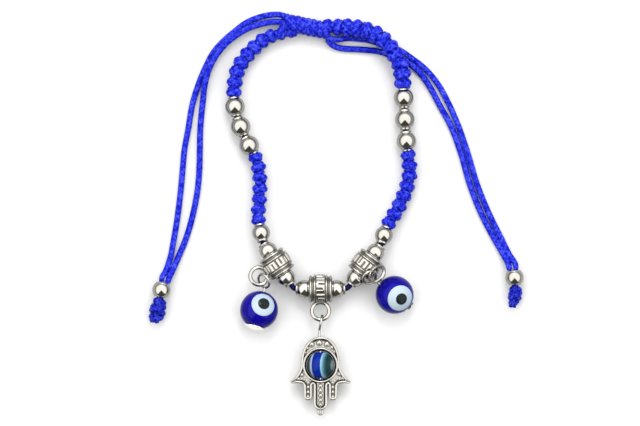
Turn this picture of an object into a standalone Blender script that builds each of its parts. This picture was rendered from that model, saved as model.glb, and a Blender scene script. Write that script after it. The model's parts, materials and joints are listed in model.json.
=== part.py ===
"""Adjustable knotted cord bracelet with two glass eye charms and a hamsa charm, lying flat on a table.

Metres, +Z up, +X to the wearer's right of the loop, +Y towards the sliding knot.
"""
import math

import bmesh
import bpy
import numpy as np
from mathutils import Vector

MM = 0.001
NAME = "evil_eye_bracelet"

# Loop and cord
LOOP_WIDTH = 38.6 * MM
LOOP_HEIGHT = 47.9 * MM
CORD_DIAMETER = 1.2 * MM
CORE_STEP = 2.4 * MM
BORE_CLEARANCE = 0.3 * MM
BORE_RUN_OUT = 1.0 * MM
TABLE_GAP = 0.05 * MM
SEAT_GAP = 0.3 * MM
BEND_GAP = 0.8 * MM

# Knotted bands: a row of lobes, two for each square knot
BAND_WIDTH = 3.7 * MM
BAND_WAIST = 3.0 * MM
BAND_END = 2.5 * MM
LOBE_PITCH = 2.1 * MM
LOWER_BAND_LENGTH = {"left": 15.0 * MM, "right": 17.2 * MM}

# Sliding knot: one cord wound round the four strands
KNOT_TURNS = 6
KNOT_PITCH = 1.2 * MM
KNOT_CORD = 0.75 * MM
KNOT_STRAND = 0.75 * MM
KNOT_CLEARANCE = 0.2 * MM
KNOT_EXIT = 1.2 * MM
KNOT_CENTRE = (-2.5, 40.9, 2.25)
KNOT_ANGLE = math.radians(-11.8)
POINTS_PER_TURN = 24

# Round beads
BEAD_DIAMETER = 4.4 * MM
SHOULDER_BEAD_DIAMETER = 4.0 * MM
END_BEAD_DIAMETER = 4.1 * MM
BEAD_COLLAR_DIAMETER = 2.5 * MM
BEAD_COLLAR_LENGTH = 0.25 * MM
BEAD_SPACING = {"left": 0.45 * MM, "right": 0.65 * MM}
BEAD_SEAT_GAP = 0.5 * MM
BEADS_PER_SIDE = 3

# Bails: a banded tube with ball ends and a cast ring
BAIL_LENGTH = 10.5 * MM
BAIL_BAND_DIAMETER = 6.4 * MM
BAIL_BAND_WIDTH = 2.9 * MM
BAIL_GROOVE_DEPTH = 0.4 * MM
BAIL_GROOVE_WIDTH = 0.5 * MM
BAIL_FLANGE_WIDTH = 0.6 * MM
BAIL_BALL_DIAMETER = 4.0 * MM
BAIL_BORE = 1.9 * MM
BAIL_CENTRE = (0.0, -16.7)
CORNER_RUN_CENTRE = 0.6 * MM
CORNER_RUN_SIDE = 1.4 * MM
SIDE_BAIL_DIRECTION = {"left": (-0.56, 0.83), "right": (0.61, 0.79)}
RING_DIAMETER = 3.8 * MM
RING_WIRE = 0.9 * MM
RING_OVERLAP = 0.7 * MM
RING_LIFT = {"left": math.radians(10), "centre": 0.0, "right": math.radians(50)}

# Glass eye charms
GLASS_DIAMETER = 8.4 * MM
PIN_WIRE = 0.56 * MM
PIN_LOOP_DIAMETER = 3.1 * MM
PIN_LOOP_NORMAL = {"left": (-0.62, -0.38, 0.69), "right": (0.42, -0.45, 0.79)}
PIN_LOOP_OFFSET = {"left": (1.089, -1.089, 0.118), "right": (-1.668, -0.785, -0.545)}
PIN_HEAD_DIAMETER = 2.4 * MM
PIN_HEAD_THICKNESS = 0.4 * MM
WHITE_DOT_DIAMETER = 5.3 * MM
PUPIL_DOT_DIAMETER = 2.6 * MM
WHITE_DOT_DEPTH = 0.55 * MM
PUPIL_DOT_DEPTH = 0.3 * MM
DOT_GAP = 0.15 * MM
DOT_PROUD = 0.05 * MM
GLASS_DIRECTION = {"left": (-0.163, -0.987, 0.0), "right": (0.823, -0.568, 0.0)}
GLASS_REACH = {"left": 2.24 * MM, "right": 2.57 * MM}
EYE_DIRECTION = {"left": (0.22, 0.29, 0.93), "right": (0.30, -0.26, 0.92)}

# Hamsa charm, drops from its ring and sizes from the centre of its round window
HAMSA_DROP = 11.9 * MM
HAMSA_LOOP_DROP = 2.5 * MM
HAMSA_LOOP_SAG = 0.2 * MM
HAMSA_THICKNESS = 2.0 * MM
HAMSA_HALF_WIDTH = 4.3 * MM
HAMSA_CROWN = 6.2 * MM
HAMSA_THUMB_REACH = 6.9 * MM
HAMSA_THUMB_DROP = 2.9 * MM
HAMSA_THUMB_WIDTH = 1.1 * MM
SIDE_FINGER_TIP = 7.4 * MM
MIDDLE_FINGER_TIP = 9.7 * MM
MIDDLE_FINGER_WIDTH = 2.76 * MM
SIDE_FINGER_WIDTH = 1.86 * MM
FINGER_GAP = 0.36 * MM
FINGER_ROOT = 4.4 * MM
WINDOW_DIAMETER = 6.85 * MM
RESIN_BEAD_DIAMETER = 6.1 * MM
TAIL_RING_DIAMETER = 1.1 * MM
TAIL_RING_WIRE = 0.5 * MM
PIN_SEAT_DEPTH = 1.0 * MM

# End knots
END_KNOT_DIAMETER = 3.5 * MM
END_KNOT_LENGTH = {"left": 5.4 * MM, "right": 4.6 * MM}
END_STEM_DIAMETER = 1.8 * MM
END_KNOT_LOBES = 3
STRAND_SPREAD = 0.76 * MM
STRAND_END_GAP = 0.6 * MM

# Routes in millimetres, chosen by hand along the cord as it lies, from a side bail up to the knot
LEFT_SIDE = [
    (-12.6, -6.9, 3.25), (-13.1, -4.3, 2.95), (-13.7, -1.8, 2.45), (-13.7, 1.1, 2.05),
    (-13.5, 3.7, 1.90), (-13.4, 6.4, 1.90), (-13.5, 8.8, 1.90), (-14.0, 11.0, 1.95),
    (-14.7, 13.1, 2.10), (-15.9, 15.0, 2.25), (-17.5, 18.6, 2.25), (-18.7, 22.2, 2.25),
    (-19.1, 25.0, 2.15), (-19.1, 26.6, 2.00), (-18.9, 28.6, 1.90), (-18.6, 30.5, 1.90),
    (-17.9, 32.3, 1.90), (-16.6, 34.2, 1.90), (-14.8, 36.2, 1.90), (-12.7, 38.0, 1.90),
    (-10.4, 39.1, 2.00), (-8.6, 39.5, 2.20),
]
RIGHT_SIDE = [
    (13.0, -6.7, 3.25), (13.8, -4.2, 2.95), (14.8, -1.9, 2.45), (16.2, 0.3, 2.05),
    (17.6, 2.9, 1.90), (18.7, 5.5, 1.90), (19.4, 8.1, 1.90), (19.5, 10.6, 1.95),
    (19.3, 12.8, 2.05), (19.0, 14.4, 2.15), (18.8, 16.5, 2.25), (18.5, 20.7, 2.25),
    (18.3, 25.1, 2.25), (18.1, 27.9, 2.50), (18.0, 29.9, 2.90), (17.8, 31.8, 3.30),
    (17.1, 33.7, 3.45), (16.0, 35.6, 3.45), (14.3, 37.6, 3.45), (12.4, 39.2, 3.30),
    (10.1, 40.2, 2.95), (7.6, 40.7, 2.60), (5.0, 40.9, 2.35), (2.2, 41.0, 2.25),
]
# Tail strands: where each starts at the far band, then its way from the knot to its end bead
STRAND_START = {
    "left_tail_upper": (1.8, 41.0, 2.78), "left_tail_lower": (1.8, 41.0, 1.70),
    "right_tail_upper": (-8.1, 40.0, 2.78), "right_tail_lower": (-8.1, 40.0, 1.70),
}
STRAND_ROUTE = {
    "left_tail_upper": [
        (-7.4, 43.1, 2.50), (-8.9, 43.6, 2.20), (-11.1, 43.6, 1.50), (-13.9, 43.0, 1.00),
        (-16.6, 41.8, 0.75), (-18.6, 40.3, 0.65), (-21.2, 38.1, 0.65), (-23.6, 35.4, 0.65),
        (-25.3, 32.2, 0.65), (-26.7, 28.9, 0.65), (-28.0, 24.9, 0.65), (-29.2, 18.3, 0.65),
        (-30.0, 13.9, 0.65), (-30.4, 9.5, 0.65), (-30.8, 5.1, 0.65), (-31.3, 0.7, 0.65),
        (-32.6, -5.9, 0.65), (-33.6, -10.0, 0.90), (-34.6, -12.7, 1.60),
    ],
    "left_tail_lower": [
        (-7.4, 42.0, 1.70), (-8.9, 42.1, 1.80), (-11.1, 42.0, 1.65), (-13.9, 41.4, 1.55),
        (-16.4, 40.4, 1.65), (-18.3, 39.3, 1.80), (-20.7, 37.4, 1.90), (-22.9, 34.8, 1.95),
        (-24.5, 31.8, 1.80), (-25.4, 28.6, 1.50), (-25.9, 24.9, 0.90), (-26.5, 18.3, 0.65),
        (-26.6, 13.9, 0.65), (-26.7, 9.5, 0.65), (-27.1, 5.1, 0.65), (-27.9, 0.7, 0.65),
        (-30.0, -5.9, 0.65), (-31.9, -10.0, 0.90), (-33.2, -12.8, 1.60),
    ],
    "right_tail_upper": [
        (2.4, 38.3, 2.30), (3.8, 37.8, 1.60), (5.6, 37.7, 0.90), (8.0, 37.6, 0.65),
        (10.9, 37.4, 0.65), (14.2, 36.9, 0.65), (17.6, 35.8, 0.65), (20.1, 34.1, 0.65),
        (22.6, 32.2, 0.65), (25.1, 29.5, 0.65), (28.4, 23.8, 0.65), (30.0, 20.2, 0.65),
        (32.4, 13.4, 0.65), (34.5, 6.4, 0.65), (37.0, 0.2, 0.65), (40.3, -5.8, 0.65),
        (42.1, -9.0, 1.00),
    ],
    "right_tail_lower": [
        (1.9, 37.7, 1.30), (3.4, 36.6, 0.90), (5.4, 36.2, 0.70), (7.8, 36.1, 0.65),
        (10.3, 35.9, 0.65), (12.9, 35.6, 0.65), (15.7, 34.6, 0.65), (19.2, 32.5, 0.65),
        (21.4, 30.5, 0.65), (23.7, 27.8, 0.65), (26.4, 23.5, 0.65), (28.3, 20.1, 0.65),
        (30.9, 13.4, 0.65), (32.9, 6.4, 0.65), (35.3, 0.2, 0.65), (38.6, -5.8, 0.65),
        (40.6, -9.0, 1.00),
    ],
}
STRAND_POINTS = 20
END_BEAD_CENTRE = {"left": (-35.0, -16.9), "right": (42.7, -14.2)}
END_DIRECTION = {"left": (-0.19, -0.98, 0.0), "right": (0.05, -1.0, 0.0)}

# Facets and steps
ROUTE_STEPS = 16
BEAD_SEGMENTS = 12
BEAD_ARC_STEPS = 6
BAIL_SEGMENTS = 18
RING_SEGMENTS = (18, 8)
GLASS_SEGMENTS = 16
WIRE_SIDES = 9
WINDOW_SEGMENTS = 30


def clear_scene():
    for item in list(bpy.data.objects):
        bpy.data.objects.remove(item, do_unlink=True)
    for group in list(bpy.data.collections):
        bpy.data.collections.remove(group)


def new_collection(name):
    group = bpy.data.collections.new(name)
    bpy.context.scene.collection.children.link(group)
    return group


def make_material(name, colour, roughness, metallic=0.0):
    finish = bpy.data.materials.new(name)
    finish.use_nodes = True
    shader = finish.node_tree.nodes["Principled BSDF"]
    shader.inputs["Base Color"].default_value = (*colour, 1.0)
    shader.inputs["Roughness"].default_value = roughness
    shader.inputs["Metallic"].default_value = metallic
    return finish


def smooth_route(points, tangents=None, steps=ROUTE_STEPS):
    """Dense points on a cubic curve through the given points, with some tangents set by hand."""
    points = np.array(points, float)
    chord = np.linalg.norm(np.diff(points, axis=0), axis=1)
    along = np.concatenate([[0.0], np.cumsum(chord)])
    slope = np.gradient(points, along, axis=0)
    for index, tangent in (tangents or {}).items():
        slope[index] = np.array(tangent) / np.linalg.norm(tangent)
    dense = []
    for i in range(len(points) - 1):
        for t in np.arange(steps) / steps:
            h00, h10 = 2 * t**3 - 3 * t**2 + 1, t**3 - 2 * t**2 + t
            h01, h11 = -2 * t**3 + 3 * t**2, t**3 - t**2
            dense.append(h00 * points[i] + h10 * chord[i] * slope[i]
                         + h01 * points[i + 1] + h11 * chord[i] * slope[i + 1])
    dense.append(points[-1])
    return np.array(dense)


class Route:
    """A curve that can be read at any length from its start."""

    def __init__(self, dense):
        self.dense = dense
        steps = np.linalg.norm(np.diff(dense, axis=0), axis=1)
        self.along = np.concatenate([[0.0], np.cumsum(steps)])
        self.length = self.along[-1]

    def point(self, s):
        return Vector([np.interp(s, self.along, self.dense[:, k]) for k in range(3)])

    def direction(self, s, reach=0.4 * MM):
        return (self.point(s + reach) - self.point(s - reach)).normalized()

    def seat(self, s, half):
        """Centre and axis of a bead, midway between the cord's bow inside it and the line of its ends."""
        ends = (self.point(s - half) + self.point(s + half)) / 2
        return (ends + self.point(s)) / 2, self.direction(s, half)


def stretched(point):
    """A chosen route point in metres, stretched to the loop's width and height."""
    return Vector((point[0] * MM * STRETCH_X, point[1] * MM * STRETCH_Y, point[2] * MM))


def add_object(name, data, group, location=(0, 0, 0), axis=None):
    item = bpy.data.objects.new(name, data)
    group.objects.link(item)
    item.location = location
    if axis is not None:
        item.rotation_mode = "QUATERNION"
        item.rotation_quaternion = Vector(axis).to_track_quat("Z", "Y")
    return item


def turned(name, profile, segments, location=(0, 0, 0), axis=(0, 0, 1), group=None):
    """A profile of (radius, height) pairs, outer side top to bottom, turned round local Z."""
    data = bpy.data.meshes.new(name)
    points = [(radius, 0.0, height) for radius, height in profile]
    edges = [(i, i + 1) for i in range(len(points) - 1)]
    if profile[0][0] > 0:
        edges.append((len(points) - 1, 0))
    data.from_pydata(points, edges, [])
    item = add_object(name, data, group or parts, location, axis)
    screw = item.modifiers.new("turn", "SCREW")
    screw.steps = screw.render_steps = segments
    screw.use_merge_vertices = True
    screw.merge_threshold = 0.000001
    screw.use_smooth_shade = True
    return item


def ball_profile(radius, half_length, bore_radius, steps, collar=None):
    """Outline of a bored ball whose ends are cut flat, with short collars if asked."""
    end_radius, end_length = collar or (bore_radius, 0.0)
    cut = math.acos((half_length - end_length) / radius)
    outer = []
    for i in range(steps + 1):
        angle = cut + (math.pi - 2 * cut) * i / steps
        outer.append((radius * math.sin(angle), radius * math.cos(angle)))
    if collar:
        neck = half_length - end_length
        outer = [(end_radius, half_length), (end_radius, neck)] + outer
        outer += [(end_radius, -neck), (end_radius, -half_length)]
    return outer + [(bore_radius, -half_length), (bore_radius, half_length)]


def tube(name, points, radius, resolution, radii=None, group=None):
    """A round cord along given points, as a bevelled curve with closed ends."""
    data = bpy.data.curves.new(name, "CURVE")
    data.dimensions = "3D"
    data.bevel_depth = radius
    data.bevel_resolution = resolution
    data.use_fill_caps = True
    spline = data.splines.new("POLY")
    spline.points.add(len(points) - 1)
    for i, point in enumerate(points):
        spline.points[i].co = (*point, 1.0)
        spline.points[i].radius = radii[i] if radii else 1.0
    return add_object(name, data, group or parts)


def frozen(item, group=None, filled=False):
    """The same shape as a plain mesh in world space, caps welded, an open outline filled if asked."""
    bpy.context.view_layer.update()
    source = item.evaluated_get(bpy.context.evaluated_depsgraph_get())
    data = bpy.data.meshes.new_from_object(source)
    data.transform(item.matrix_world)
    edit = bmesh.new()
    edit.from_mesh(data)
    bmesh.ops.remove_doubles(edit, verts=edit.verts, dist=0.000001)
    if filled:
        bmesh.ops.edgeloop_fill(edit, edges=edit.edges)
    edit.to_mesh(data)
    edit.free()
    name = item.name
    bpy.data.objects.remove(item, do_unlink=True)
    data.name = name
    return add_object(name, data, group or parts)


def combine(base, other, operation):
    """Join another shape to a piece, or cut it away; the shape moves with the piece."""
    if other.name not in cutters.objects:
        for group in list(other.users_collection):
            group.objects.unlink(other)
        cutters.objects.link(other)
    other.hide_render = True
    other.display_type = "WIRE"
    carry(base, other)
    change = base.modifiers.new(operation.lower(), "BOOLEAN")
    change.operation = operation
    change.object = other


def torus(name, centre, normal, major, minor, segments=RING_SEGMENTS):
    bpy.ops.mesh.primitive_torus_add(
        major_segments=segments[0], minor_segments=segments[1],
        major_radius=major, minor_radius=minor, location=centre)
    item = bpy.context.object
    item.name = name
    item.rotation_mode = "QUATERNION"
    item.rotation_quaternion = Vector(normal).to_track_quat("Z", "Y")
    return item


def joint_axis(name, location, axis, parent=None):
    """An empty on a joint, its Z along the axis, that carries the pieces that move there."""
    item = bpy.data.objects.new(name, None)
    parts.objects.link(item)
    item.empty_display_size = 2 * MM
    item.location = location
    item.rotation_mode = "QUATERNION"
    item.rotation_quaternion = Vector(axis).to_track_quat("Z", "Y")
    carry(parent or root, item)
    return item


def carry(parent, *items):
    bpy.context.view_layer.update()
    for item in items:
        item.parent = parent
        item.matrix_parent_inverse = parent.matrix_world.inverted()


def finish(item, material):
    """Give a piece its own material and smooth shading."""
    own = material.copy()
    own.name = f"{item.name}_finish"
    item.data.materials.clear()
    item.data.materials.append(own)
    if item.type == "MESH":
        item.data.shade_smooth()
        item.data.set_sharp_from_angle(angle=math.radians(40))


def bead(name, diameter, half_length, bore, location, axis, steps=BEAD_ARC_STEPS):
    """A round metal bead with short collars, spinning freely on its cord."""
    collar = (BEAD_COLLAR_DIAMETER / 2, BEAD_COLLAR_LENGTH)
    profile = ball_profile(diameter / 2, half_length, bore / 2, steps, collar)
    item = turned(name, profile, BEAD_SEGMENTS, location, axis)
    finish(item, silver)
    carry(joint_axis(f"{name}_spin", location, axis), item)
    return item


def bead_half_length(diameter, collar_diameter=BEAD_COLLAR_DIAMETER):
    """Half the length of a bead whose ball ends where it meets its collar."""
    return math.sqrt((diameter / 2) ** 2 - (collar_diameter / 2) ** 2) + BEAD_COLLAR_LENGTH


def band(name, route, start, end):
    """A knotted band: ribbed tube along the route with a bore for the core cord."""
    lobes = max(2, round((end - start) / LOBE_PITCH))
    half = (end - start) / lobes / 2
    stations = [start + half * k for k in range(2 * lobes + 1)]
    radii = [1.0 if k % 2 else BAND_WAIST / BAND_WIDTH for k in range(2 * lobes + 1)]
    radii[0] = radii[-1] = BAND_END / BAND_WIDTH
    points = [route.point(s) for s in stations]
    sleeve = frozen(tube(name, points, BAND_WIDTH / 2, 2, radii))
    count = max(4, round((end - start) / CORE_STEP))
    inner = [route.point(start + (end - start) * k / count) for k in range(count + 1)]
    inner.insert(0, inner[0] - BORE_RUN_OUT * route.direction(start))
    inner.append(inner[-1] + BORE_RUN_OUT * route.direction(end))
    bore = frozen(tube(f"{name}_bore", inner, CORD_DIAMETER / 2 + BORE_CLEARANCE, 1), cutters)
    combine(sleeve, bore, "DIFFERENCE")
    finish(sleeve, cord_blue)
    carry(root, sleeve)


def side_route(side):
    """One side of the loop, leaning with the end of its bail and fixed at the knot."""
    chosen = [stretched(p) for p in (LEFT_SIDE if side == "left" else RIGHT_SIDE)]
    lean = bail_place(side)[0] + bail_place(side)[1] * BAIL_LENGTH / 2 - chosen[0]
    last = len(chosen) - 1
    return [p + lean * (1 - i / last) for i, p in enumerate(chosen)]


def bail_place(side):
    """Centre and direction of a bail; a side bail points away from the middle one."""
    middle = Vector((BAIL_CENTRE[0] * MM, BAIL_CENTRE[1] * MM, BAIL_BAND_DIAMETER / 2 + TABLE_GAP))
    if side == "centre":
        return middle, Vector((1, 0, 0))
    sign = -1 if side == "left" else 1
    direction = Vector((*SIDE_BAIL_DIRECTION[side], 0)).normalized()
    corner = middle + Vector((sign * (BAIL_LENGTH / 2 + CORNER_RUN_CENTRE), 0, 0))
    return corner + direction * (CORNER_RUN_SIDE + BAIL_LENGTH / 2), direction


def ring_place(side):
    """Centre and normal of a bail's cast ring, which is turned up off the table by its lift."""
    centre, direction = bail_place(side)
    outward = Vector((0, 0, 1)).cross(direction) if side == "left" else direction.cross(Vector((0, 0, 1)))
    outward = outward * math.cos(RING_LIFT[side]) + Vector((0, 0, math.sin(RING_LIFT[side])))
    reach = BAIL_BAND_DIAMETER / 2 + RING_DIAMETER / 2 + RING_WIRE / 2 - RING_OVERLAP
    return centre + outward * reach, direction.cross(outward).normalized()


def make_bail(side):
    """Banded tube bead with ball ends and a cast ring at its side."""
    name = f"{side}_bail"
    centre, direction = bail_place(side)
    ball = BAIL_BALL_DIAMETER / 2
    band_radius = BAIL_BAND_DIAMETER / 2
    bore = BAIL_BORE / 2
    end = BAIL_LENGTH / 2
    ball_centre = end - math.sqrt(ball**2 - bore**2)
    groove = BAIL_BAND_WIDTH / 2
    flange = groove + BAIL_GROOVE_WIDTH
    shoulder = flange + BAIL_FLANGE_WIDTH
    steps = 6
    first, last = math.asin(bore / ball), math.acos((shoulder - ball_centre) / ball)
    half = []
    for i in range(steps + 1):
        angle = first + (last - first) * i / steps
        half.append((ball * math.sin(angle), ball_centre + ball * math.cos(angle)))
    half += [(band_radius - 0.3 * MM, shoulder), (band_radius - 0.1 * MM, flange)]
    half += [(band_radius - BAIL_GROOVE_DEPTH, flange), (band_radius - BAIL_GROOVE_DEPTH, groove)]
    half += [(band_radius, groove)]
    profile = half + [(r, -z) for r, z in reversed(half)]
    body = frozen(turned(name, profile, BAIL_SEGMENTS, centre, direction))
    ring_centre, normal = ring_place(side)
    ring = frozen(torus(f"{name}_ring", ring_centre, normal, RING_DIAMETER / 2, RING_WIRE / 2))
    combine(body, ring, "UNION")
    finish(body, silver)
    turn = joint_axis(f"{name}_turn", centre, direction if side == "left" else -direction)
    carry(turn, body)
    return turn


def glass_eye(side, bail):
    """Glass ball with white and black dots, on a head pin whose loop holds the bail's ring."""
    ring_centre, ring_normal = ring_place(side)
    loop_centre = ring_centre + Vector(PIN_LOOP_OFFSET[side]) * MM
    loop_normal = Vector(PIN_LOOP_NORMAL[side]).normalized()
    loop_radius = PIN_LOOP_DIAMETER / 2
    away = Vector(GLASS_DIRECTION[side]).normalized()
    ball_centre = loop_centre + away * (GLASS_REACH[side] + GLASS_DIAMETER / 2)
    ball_centre.z = GLASS_DIAMETER / 2
    foot = loop_centre + in_plane(ball_centre - loop_centre, loop_normal) * loop_radius
    pin_axis = (ball_centre - foot).normalized()
    half = math.sqrt((GLASS_DIAMETER / 2) ** 2 - (PIN_HEAD_DIAMETER / 2) ** 2)
    bore = PIN_WIRE + 2 * BORE_CLEARANCE

    pin = frozen(torus(f"{side}_head_pin", loop_centre, loop_normal, loop_radius, PIN_WIRE / 2))
    reach = (ball_centre - foot).length + half + SEAT_GAP
    head = PIN_HEAD_DIAMETER / 2
    wire = PIN_WIRE / 2
    profile = [(0, reach + PIN_HEAD_THICKNESS), (head * 0.7, reach + PIN_HEAD_THICKNESS),
               (head, reach + PIN_HEAD_THICKNESS * 0.5), (head, reach), (wire, reach), (wire, 0), (0, 0)]
    shank = frozen(turned(f"{side}_shank", profile, WIRE_SIDES, foot, pin_axis))
    combine(pin, shank, "UNION")
    finish(pin, silver)
    radial = in_plane(loop_centre - ring_centre, ring_normal)
    hold = ring_centre + radial * RING_DIAMETER / 2
    swing = joint_axis(f"{side}_charm_swing", hold, radial.cross(ring_normal), bail)
    carry(swing, pin)

    ball = turned(f"{side}_eye_glass", ball_profile(GLASS_DIAMETER / 2, half, bore / 2, 8),
                  GLASS_SEGMENTS, ball_centre, pin_axis)
    gaze = Vector(EYE_DIRECTION[side]).normalized()
    white = dot(f"{side}_eye_white", WHITE_DOT_DIAMETER, WHITE_DOT_DEPTH, ball_centre, gaze, 0)
    pupil = dot(f"{side}_eye_pupil", PUPIL_DOT_DIAMETER, PUPIL_DOT_DEPTH, ball_centre, gaze, DOT_PROUD)
    combine(ball, dot(f"{side}_white_pocket", WHITE_DOT_DIAMETER + 2 * DOT_GAP,
                      WHITE_DOT_DEPTH + DOT_GAP, ball_centre, gaze, 4 * DOT_PROUD), "DIFFERENCE")
    combine(white, dot(f"{side}_pupil_pocket", PUPIL_DOT_DIAMETER + 2 * DOT_GAP,
                       PUPIL_DOT_DEPTH + DOT_GAP, ball_centre, gaze, 4 * DOT_PROUD), "DIFFERENCE")
    finish(ball, cobalt_glass)
    finish(white, white_glass)
    finish(pupil, black_glass)
    spin = joint_axis(f"{side}_eye_spin", ball_centre, pin_axis, swing)
    carry(spin, ball, white, pupil)


def in_plane(direction, normal):
    """The part of a direction that lies in a plane, as a unit vector."""
    return (direction - normal * direction.dot(normal)).normalized()


def dot(name, diameter, depth, ball_centre, gaze, proud):
    """A round dot of glass let into a ball: domed outside, flat inside."""
    dome = GLASS_DIAMETER / 2 + DOT_PROUD + proud
    edge = diameter / 2
    rim = math.sqrt(dome**2 - edge**2)
    floor = math.sqrt((GLASS_DIAMETER / 2) ** 2 - edge**2) - depth
    profile = []
    steps = 5
    for i in range(steps + 1):
        angle = math.asin(edge / dome) * i / steps
        profile.append((dome * math.sin(angle), dome * math.cos(angle)))
    profile[-1] = (edge, rim)
    profile += [(edge, floor), (0, floor)]
    return frozen(turned(name, profile, GLASS_SEGMENTS, ball_centre, gaze))


def arc(centre_x, centre_y, radius_x, radius_y, start, end, steps):
    """Points on an ellipse, angles in degrees."""
    angles = [math.radians(start + (end - start) * i / steps) for i in range(steps + 1)]
    return [(centre_x + radius_x * math.cos(a), centre_y + radius_y * math.sin(a)) for a in angles]


def hamsa_half():
    """Right half of the hand's outline from crown to middle fingertip, from the window's centre."""
    middle = MIDDLE_FINGER_WIDTH / 2
    inner = middle + FINGER_GAP
    outer = inner + SIDE_FINGER_WIDTH
    tip = SIDE_FINGER_WIDTH / 2
    thumb = HAMSA_THUMB_WIDTH / 2
    points = arc(0, 0, HAMSA_HALF_WIDTH, HAMSA_CROWN, 85, 0, 10)
    root = HAMSA_THUMB_DROP - thumb
    points += arc(HAMSA_THUMB_REACH - thumb, 0, HAMSA_THUMB_REACH - thumb - HAMSA_HALF_WIDTH, root,
                  195, 270, 4)
    points += arc(HAMSA_THUMB_REACH - thumb, -HAMSA_THUMB_DROP, thumb, thumb, 60, -90, 5)
    points += arc(outer + 2 * thumb, -FINGER_ROOT, 2 * thumb, FINGER_ROOT - HAMSA_THUMB_DROP - thumb,
                  90, 180, 3)
    points += arc(outer - tip, tip - SIDE_FINGER_TIP, tip, tip, 0, -180, 8)
    points += arc(middle + FINGER_GAP / 2, -FINGER_ROOT, FINGER_GAP / 2, FINGER_GAP / 2, 0, 180, 3)
    points += arc(0, middle - MIDDLE_FINGER_TIP, middle, middle, 0, -82, 6)
    return points


def make_hamsa(bail):
    """Cast hand with a round window, an eye pin through it and a resin eye bead on the pin."""
    ring_centre, _ = ring_place("centre")
    centre = ring_centre + Vector((0, -HAMSA_DROP, 0))
    centre.z = RESIN_BEAD_DIAMETER / 2
    loop_centre = ring_centre + Vector((0, -HAMSA_LOOP_DROP, -HAMSA_LOOP_SAG))
    pin_axis = (centre - loop_centre).normalized()
    half = hamsa_half()
    outline = half + [(-x, y) for x, y in reversed(half)]
    data = bpy.data.curves.new("hamsa_frame", "CURVE")
    data.dimensions = "2D"
    data.fill_mode = "NONE"
    spline = data.splines.new("POLY")
    spline.points.add(len(outline) - 1)
    for i, (x, y) in enumerate(outline):
        spline.points[i].co = (x, y, 0.0, 1.0)
    spline.use_cyclic_u = True
    frame = frozen(add_object("hamsa_frame", data, parts, centre), filled=True)
    sheet = frame.modifiers.new("thickness", "SOLIDIFY")
    sheet.thickness = HAMSA_THICKNESS
    sheet.offset = 0

    down = Vector((0, -1, 0))
    window = HAMSA_THICKNESS
    hole = WINDOW_DIAMETER / 2
    disc = [(0, window), (hole, window), (hole, -window), (0, -window)]
    combine(frame, frozen(turned("hamsa_window", disc, WINDOW_SEGMENTS, centre)), "DIFFERENCE")
    pin_hole = PIN_WIRE / 2 + BORE_CLEARANCE
    floor = hole + PIN_SEAT_DEPTH + SEAT_GAP
    channel = [(0, floor), (pin_hole, floor), (pin_hole, -2 * HAMSA_CROWN), (0, -2 * HAMSA_CROWN)]
    combine(frame, frozen(turned("hamsa_pin_hole", channel, WIRE_SIDES, centre, pin_axis)), "DIFFERENCE")
    tail_centre = centre + down * (MIDDLE_FINGER_TIP + TAIL_RING_DIAMETER / 2)
    tail = frozen(torus("hamsa_tail_ring", tail_centre, (0, 0, 1), TAIL_RING_DIAMETER / 2,
                        TAIL_RING_WIRE / 2, (14, 8)))
    combine(frame, tail, "UNION")
    finish(frame, antique_silver)

    loop_radius = PIN_LOOP_DIAMETER / 2
    pin = frozen(torus("hamsa_pin", loop_centre, (1, 0, 0), loop_radius, PIN_WIRE / 2))
    wire = PIN_WIRE / 2
    top = loop_centre + pin_axis * loop_radius
    length = (centre - loop_centre).length - loop_radius + hole + PIN_SEAT_DEPTH
    shank = [(0, length), (wire, length), (wire, 0), (0, 0)]
    combine(pin, frozen(turned("hamsa_shank", shank, WIRE_SIDES, top, pin_axis)), "UNION")
    finish(pin, silver)
    hold = ring_centre + down * RING_DIAMETER / 2
    swing = joint_axis("hamsa_swing", hold, (-1, 0, 0), bail)
    carry(swing, frame, pin)

    radius = RESIN_BEAD_DIAMETER / 2
    bore = PIN_WIRE / 2 + BORE_CLEARANCE
    flat = math.sqrt(radius**2 - (2 * bore) ** 2)
    resin = turned("hamsa_eye_bead", ball_profile(radius, flat, bore, 8), GLASS_SEGMENTS, centre, pin_axis)
    finish(resin, resin_blue)
    carry(joint_axis("hamsa_eye_spin", centre, pin_axis, swing), resin)


def knot_point(along, up, lift):
    """A point in the sliding knot's own frame: along its axis, across it and above it."""
    centre = stretched(KNOT_CENTRE)
    axis = Vector((math.cos(KNOT_ANGLE), math.sin(KNOT_ANGLE), 0))
    side = Vector((-axis.y, axis.x, 0))
    return centre + axis * along + side * up + Vector((0, 0, lift))


def knot_pack():
    """How far each strand sits from the knot's axis, both ways, when the four are packed square."""
    return KNOT_STRAND / 2 + KNOT_CLEARANCE / 2


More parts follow.
